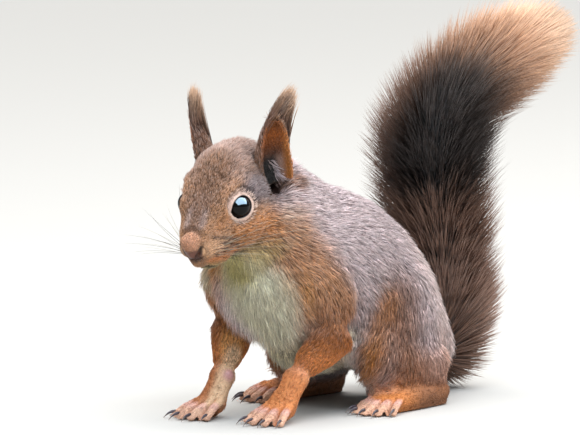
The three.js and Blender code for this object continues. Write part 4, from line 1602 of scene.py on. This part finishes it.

# %% [markdown]
# ## Coat of the ears
#
# The back of the ear is covered with short streaked hair that runs up to its edge, and the cup is lined with sparse
# orange hair, painted dark down by the hole as painted shade. In the winter coat long tufts grow from the upper edge
# and the back. They are drawn from the ear's upper part towards the end of the frame's tuft solid, one upright, one
# blown backwards.

# %% Fields of an ear
def dress_ear(side):
    ear = ears[side]
    ear.normal = ear.normals()
    h = to_head(ear.points) * (side, 1, 1) - EAR_ROOT
    rise = eased(EAR_RISE, 61)
    which, _ = nearest(h, rise)
    t = which / 60
    axis = unit(np.gradient(rise, axis=0))[which]
    faces = unit(np.array(EAR_FACES[side]))
    to_middle = unit(rise[which] + faces * 3.5 - h)
    inner = smooth_step(-0.2, 0.3, np.sum((ear.normal @ TURN * (side, 1, 1)) * to_middle, axis=1))
    ear.inner, ear.up = inner, t
    ear.behind = unit(h - rise[which]) @ unit(np.cross((0, 0, 1.0), faces))
    flow = axis + 0.25 * unit(h - rise[which] + 1e-6)
    flow = (flow * (side, 1, 1)) @ TURN.T
    flow -= ear.normal * np.sum(flow * ear.normal, axis=1, keepdims=True)
    ear.flow = unit(flow)
    ear.length = np.interp(t, (0, 0.4, 1), (3.4, 3.0, 4.6)) * (1 - 0.5 * inner)
    ear.width = np.full(len(t), 0.26)
    ear.lift = 14 + 2 * inner
    ear.ticking = 0.9 * (1 - inner)
    ear.bare = 0.85 * inner * smooth_step(0.62, 0.38, t)
    back = shades_between(t, ((0.2, (128, 96, 74)), (0.6, (112, 78, 58)), (1, (96, 70, 62))))
    # low in the cup the colour runs to near-black, painted shade by the hole
    cup = shades_between(t, ((0.32, (24, 12, 8)), (0.50, (112, 60, 26)), (0.72, (160, 86, 24)), (1, (120, 70, 32))))
    rear = smooth_step(0.70, 0.82, ear.behind) * smooth_step(0.99, 0.90, ear.behind)
    rear = rear * smooth_step(0.46, 0.36, t) * inner
    # deep: the lower front of the cup, painted near-black as painted shade where the cup shades the hole
    deep = smooth_step(0.80, 0.66, ear.behind) * smooth_step(0.50, 0.34, t) * inner
    ear.colour = back + (linear(182, 142, 112) - back) * (smooth_step(0.1, 0.8, ear.behind) * 0.7)[:, None]
    ear.colour += (cup - ear.colour) * inner[:, None]
    ear.colour += (linear(172, 136, 122) - ear.colour) * (rear * 0.7)[:, None]
    ear.colour += (linear(12, 7, 5) - ear.colour) * (deep * 0.95)[:, None]
    margin = smooth_step(0.88, 0.98, ear.behind) * smooth_step(0.9, 0.6, t)
    ear.colour += (linear(186, 116, 52) - ear.colour) * (margin * 0.8)[:, None]
    ear.colour = ear.blurred(ear.colour, 2)
    return ear


EAR_BONES = [((EAR_ROOT + EAR_RISE) * (s, 1, 1) @ TURN.T + NOSE, TURN @ (0, -1, 0)) for s in (1, -1)]
for side, name in ((1, "left"), (-1, "right")):
    ear = dress_ear(side)
    everywhere = np.ones(len(ear.points), bool)
    grow_coat(f"coat_ear_{name}", ear, everywhere, 6500, 30 + side, EAR_BONES, tuft_size=8, clump=0.2)

# %% Ear tufts
def grow_tuft(name, side, count, seed):
    count = int(count * HAIR)
    random = np.random.default_rng(seed)
    ear = ears[side]
    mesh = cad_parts[f"ear_tuft_{name}"].data
    solid = np.array([tuple(v.co) for v in mesh.vertices]) / MM
    base = from_head(((EAR_ROOT + EAR_RISE[3]) * (side, 1, 1))[None])[0]
    tip = solid[np.argmax(np.linalg.norm(solid - base, axis=1))]
    outer = np.nonzero((ear.inner < 0.4) & (ear.up > 0.42 + 0.3 * (ear.behind < -0.2)))[0]
    odds = (ear.up[outer] - 0.3) ** 1.2
    rows = random.choice(outer, count, p=odds / odds.sum())
    roots = ear.points[rows] + random.normal(0, 0.35, (count, 3))
    grow = random.uniform(0.5, 1.03, count) ** 0.7
    way = tip - base
    stray = random.normal(0, 1.1, (count, 3))
    target = base + way * grow[:, None] + (roots - base - way * 0.25) * 0.28 + stray * grow[:, None]
    start = unit(ear.flow[rows] + ear.normal[rows] * 0.15)
    span = target - roots
    size = np.linalg.norm(span, axis=1)
    keep = size > 4
    roots, start, span, size, rows, grow = (v[keep] for v in (roots, start, span, size, rows, grow))
    path = [
        roots,
        roots + start * (size * 0.14)[:, None] + span * 0.18,
        roots + start * (size * 0.12)[:, None] + span * 0.56,
        roots + span,
    ]
    side_way = unit(np.cross(span, ear.normal[rows]))
    points, faces = locks(path, side_way, unit(np.cross(side_way, span)), random.uniform(0.24, 0.42, len(size)))
    light = np.exp(random.normal(0, 0.22, len(size)))[:, None]
    ground = linear(96, 66, 50) * light
    ends = linear(176, 142, 112) * light
    # each lock is darkened at its root as painted shade inside the tuft
    colours = np.stack([ground * 0.6, *([ground] * 3), *([(ground * 2 + ends) / 3] * 3), ends], axis=1)
    piece = hair_mesh(f"tuft_{name}", points, faces, colours, unrolled(roots, EAR_BONES))
    add_piece(f"tuft_{name}", piece, coat_finish)


grow_tuft("left", 1, 1500, 40)
grow_tuft("right", -1, 1500, 41)

# %% [markdown]
# ## Whiskers
#
# Whiskers are stiff tapering bristles in rows on the lip, with a few over the eye and on the cheek. There are few of
# them, so each is a real rod, bent back a little by its own weight and by the animal's habit of sweeping them.

# %% Whiskers
def whisker(bm, root, way, bend, length, thick):
    root, way, bend = (np.asarray(v, float) for v in (root, way, bend))
    rings = []
    for t in np.linspace(0, 1, 9):
        middle = root + way * length * t + bend * length * t * t
        ahead = unit(way + 2 * bend * t)
        across = unit(np.cross(ahead, (0.2, 0.3, 1.0)))
        size = thick * (1 - 0.85 * t)
        rings.append((middle * MM, across * size * MM, np.cross(ahead, across) * size * MM))
    one = bmesh.new()
    rod(one, rings, 5)
    part = bpy.data.meshes.new("whisker")
    one.to_mesh(part)
    one.free()
    bm.from_mesh(part)
    bpy.data.meshes.remove(part)


def whiskers_mesh(side, pale):
    random = np.random.default_rng(50 + side + 3 * pale)
    tree = BVHTree.FromPolygons([tuple(p) for p in skin.points], [tuple(t) for t in skin.triangles.tolist()])
    bm = bmesh.new()
    rows = [(y, z) for z in (-3.2, -5.2, -7.2, -9.0) for y in (5.2, 7.4, 9.8, 12.4)]
    rows = rows[pale::2] + [(16.5, 9.5), (22.0, -8.0)][pale : pale + 1]
    for y, z in rows:
        root = from_head([(side * 9.0, y + random.normal(0, 0.3), z + random.normal(0, 0.3))])[0]
        root = np.array(tree.find_nearest(Vector(root))[0])
        back = (y - 5) / 8
        up = (z + 6.5) / 6 + random.normal(0, 0.12)
        way = unit(np.array((side * (1.0 - 0.25 * back), 0.02 + 0.75 * back, 0.30 * up + 0.10)))
        way = way @ TURN.T
        bend = np.array((0, 0.16, -0.14)) + random.normal(0, 0.03, 3)
        length = (26 + 16 * random.random()) * (0.75 + 0.35 * back) if z < 0 else 13.0
        whisker(bm, root - way * 0.5, way, bend, length, 0.085)
    mesh = bpy.data.meshes.new("whiskers")
    bm.to_mesh(mesh)
    bm.free()
    mesh.shade_smooth()
    return mesh


def bristle(root, end):
    def paint(wire):
        where = wire.node("TexCoord", out=3)
        wear = wire.node("TexNoise", {}, {"Vector": where, "Scale": 220.0, "Detail": 2.0})
        return {"Base Color": wear.mixed(root, end), "Roughness": wear * 0.2 + 0.25}

    return paint


whisker_finish = {
    0: material("dark_bristle", bristle(rgba(26, 20, 18), rgba(58, 44, 38))),
    1: material("pale_bristle", bristle(rgba(96, 84, 72), rgba(214, 204, 180))),
}
for side, name in ((1, "left"), (-1, "right")):
    for pale, kind in ((0, "dark"), (1, "pale")):
        add_piece(f"whiskers_{name}_{kind}", whiskers_mesh(side, pale), whisker_finish[pale])

# %% [markdown]
# ## One skin
#
# Body, eyelids and ears are joined to one object with the attributes "coat", its colour, and "bare", how bare it is.
# Under the hair the material is dull, with a fine grain that runs with the fur. On the nose, the lids and the pads it
# is pebbled leather with a damp gloss.

# %% Join body, lids and ears
def set_fields(mesh, colours, bare):
    paint = mesh.color_attributes.new("coat", "FLOAT_COLOR", "POINT")
    paint.data.foreach_set("color", np.concatenate([colours, np.ones((len(colours), 1))], axis=1).ravel())
    mask = mesh.attributes.new("bare", "FLOAT", "POINT")
    mask.data.foreach_set("value", bare)


def joined_skin():
    # the skin is painted darker under the coat, less where it is bare, on the paws and on the muzzle: painted shade
    # under the hair
    under = 0.55 + 0.35 * np.maximum(skin.bare, skin.blurred(part_of("forepaw", "hind_foot").astype(float), 3))
    under = np.where(is_head & (in_head[:, 1] < 12), np.maximum(under, 0.85), under)
    set_fields(skin.mesh, skin.colour * under[:, None], skin.bare)
    bm = bmesh.new()
    bm.from_mesh(skin.mesh)
    for side in (1, -1):
        set_fields(lids[side].mesh, tone_of_lid(side), np.ones(len(lids[side].points)))
        # the ears' skin is painted darker under their hair, as painted shade
        set_fields(ears[side].mesh, ears[side].colour * 0.7, ears[side].bare * 0.6)
        bm.from_mesh(lids[side].mesh)
        bm.from_mesh(ears[side].mesh)
    mesh = bpy.data.meshes.new("skin")
    bm.to_mesh(mesh)
    bm.free()
    mesh.shade_smooth()
    mesh.calc_loop_triangles()
    print("skin:", len(mesh.loop_triangles), "triangles")
    return mesh


def hide(wire):
    paint = wire.node("Attribute", {"attribute_name": "coat"})
    bare = wire.node("Attribute", {"attribute_name": "bare"}, out=2)
    where = wire.node("TexCoord", out=3)
    combed = wire.node("Mapping", {}, {"Vector": where, "Rotation": (-HEAD_PITCH, 0.0, 0.0), "Scale": (1.0, 0.18, 1.0)})
    streak = wire.node("TexNoise", {}, {"Vector": combed, "Scale": 2600.0, "Detail": 3.0})
    pebble = wire.node("TexVoronoi", {}, {"Vector": where, "Scale": 2400.0})
    fleck = streak.mixed((0.55, 0.52, 0.52, 1), (1.4, 1.36, 1.32, 1))
    height = streak * (1 - bare) + pebble * bare * 0.35
    return {
        "Base Color": paint.times(fleck),
        "Roughness": 0.75 - bare * 0.38,
        "Specular IOR Level": 0.4,
        "Normal": wire.node("Bump", {}, {"Height": height, "Strength": 0.5, "Distance": 0.00025}),
    }


replaced = [n for n in sorted(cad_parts) if not n.startswith("eye")]
add_piece("skin", joined_skin(), material("hide", hide), replaced)
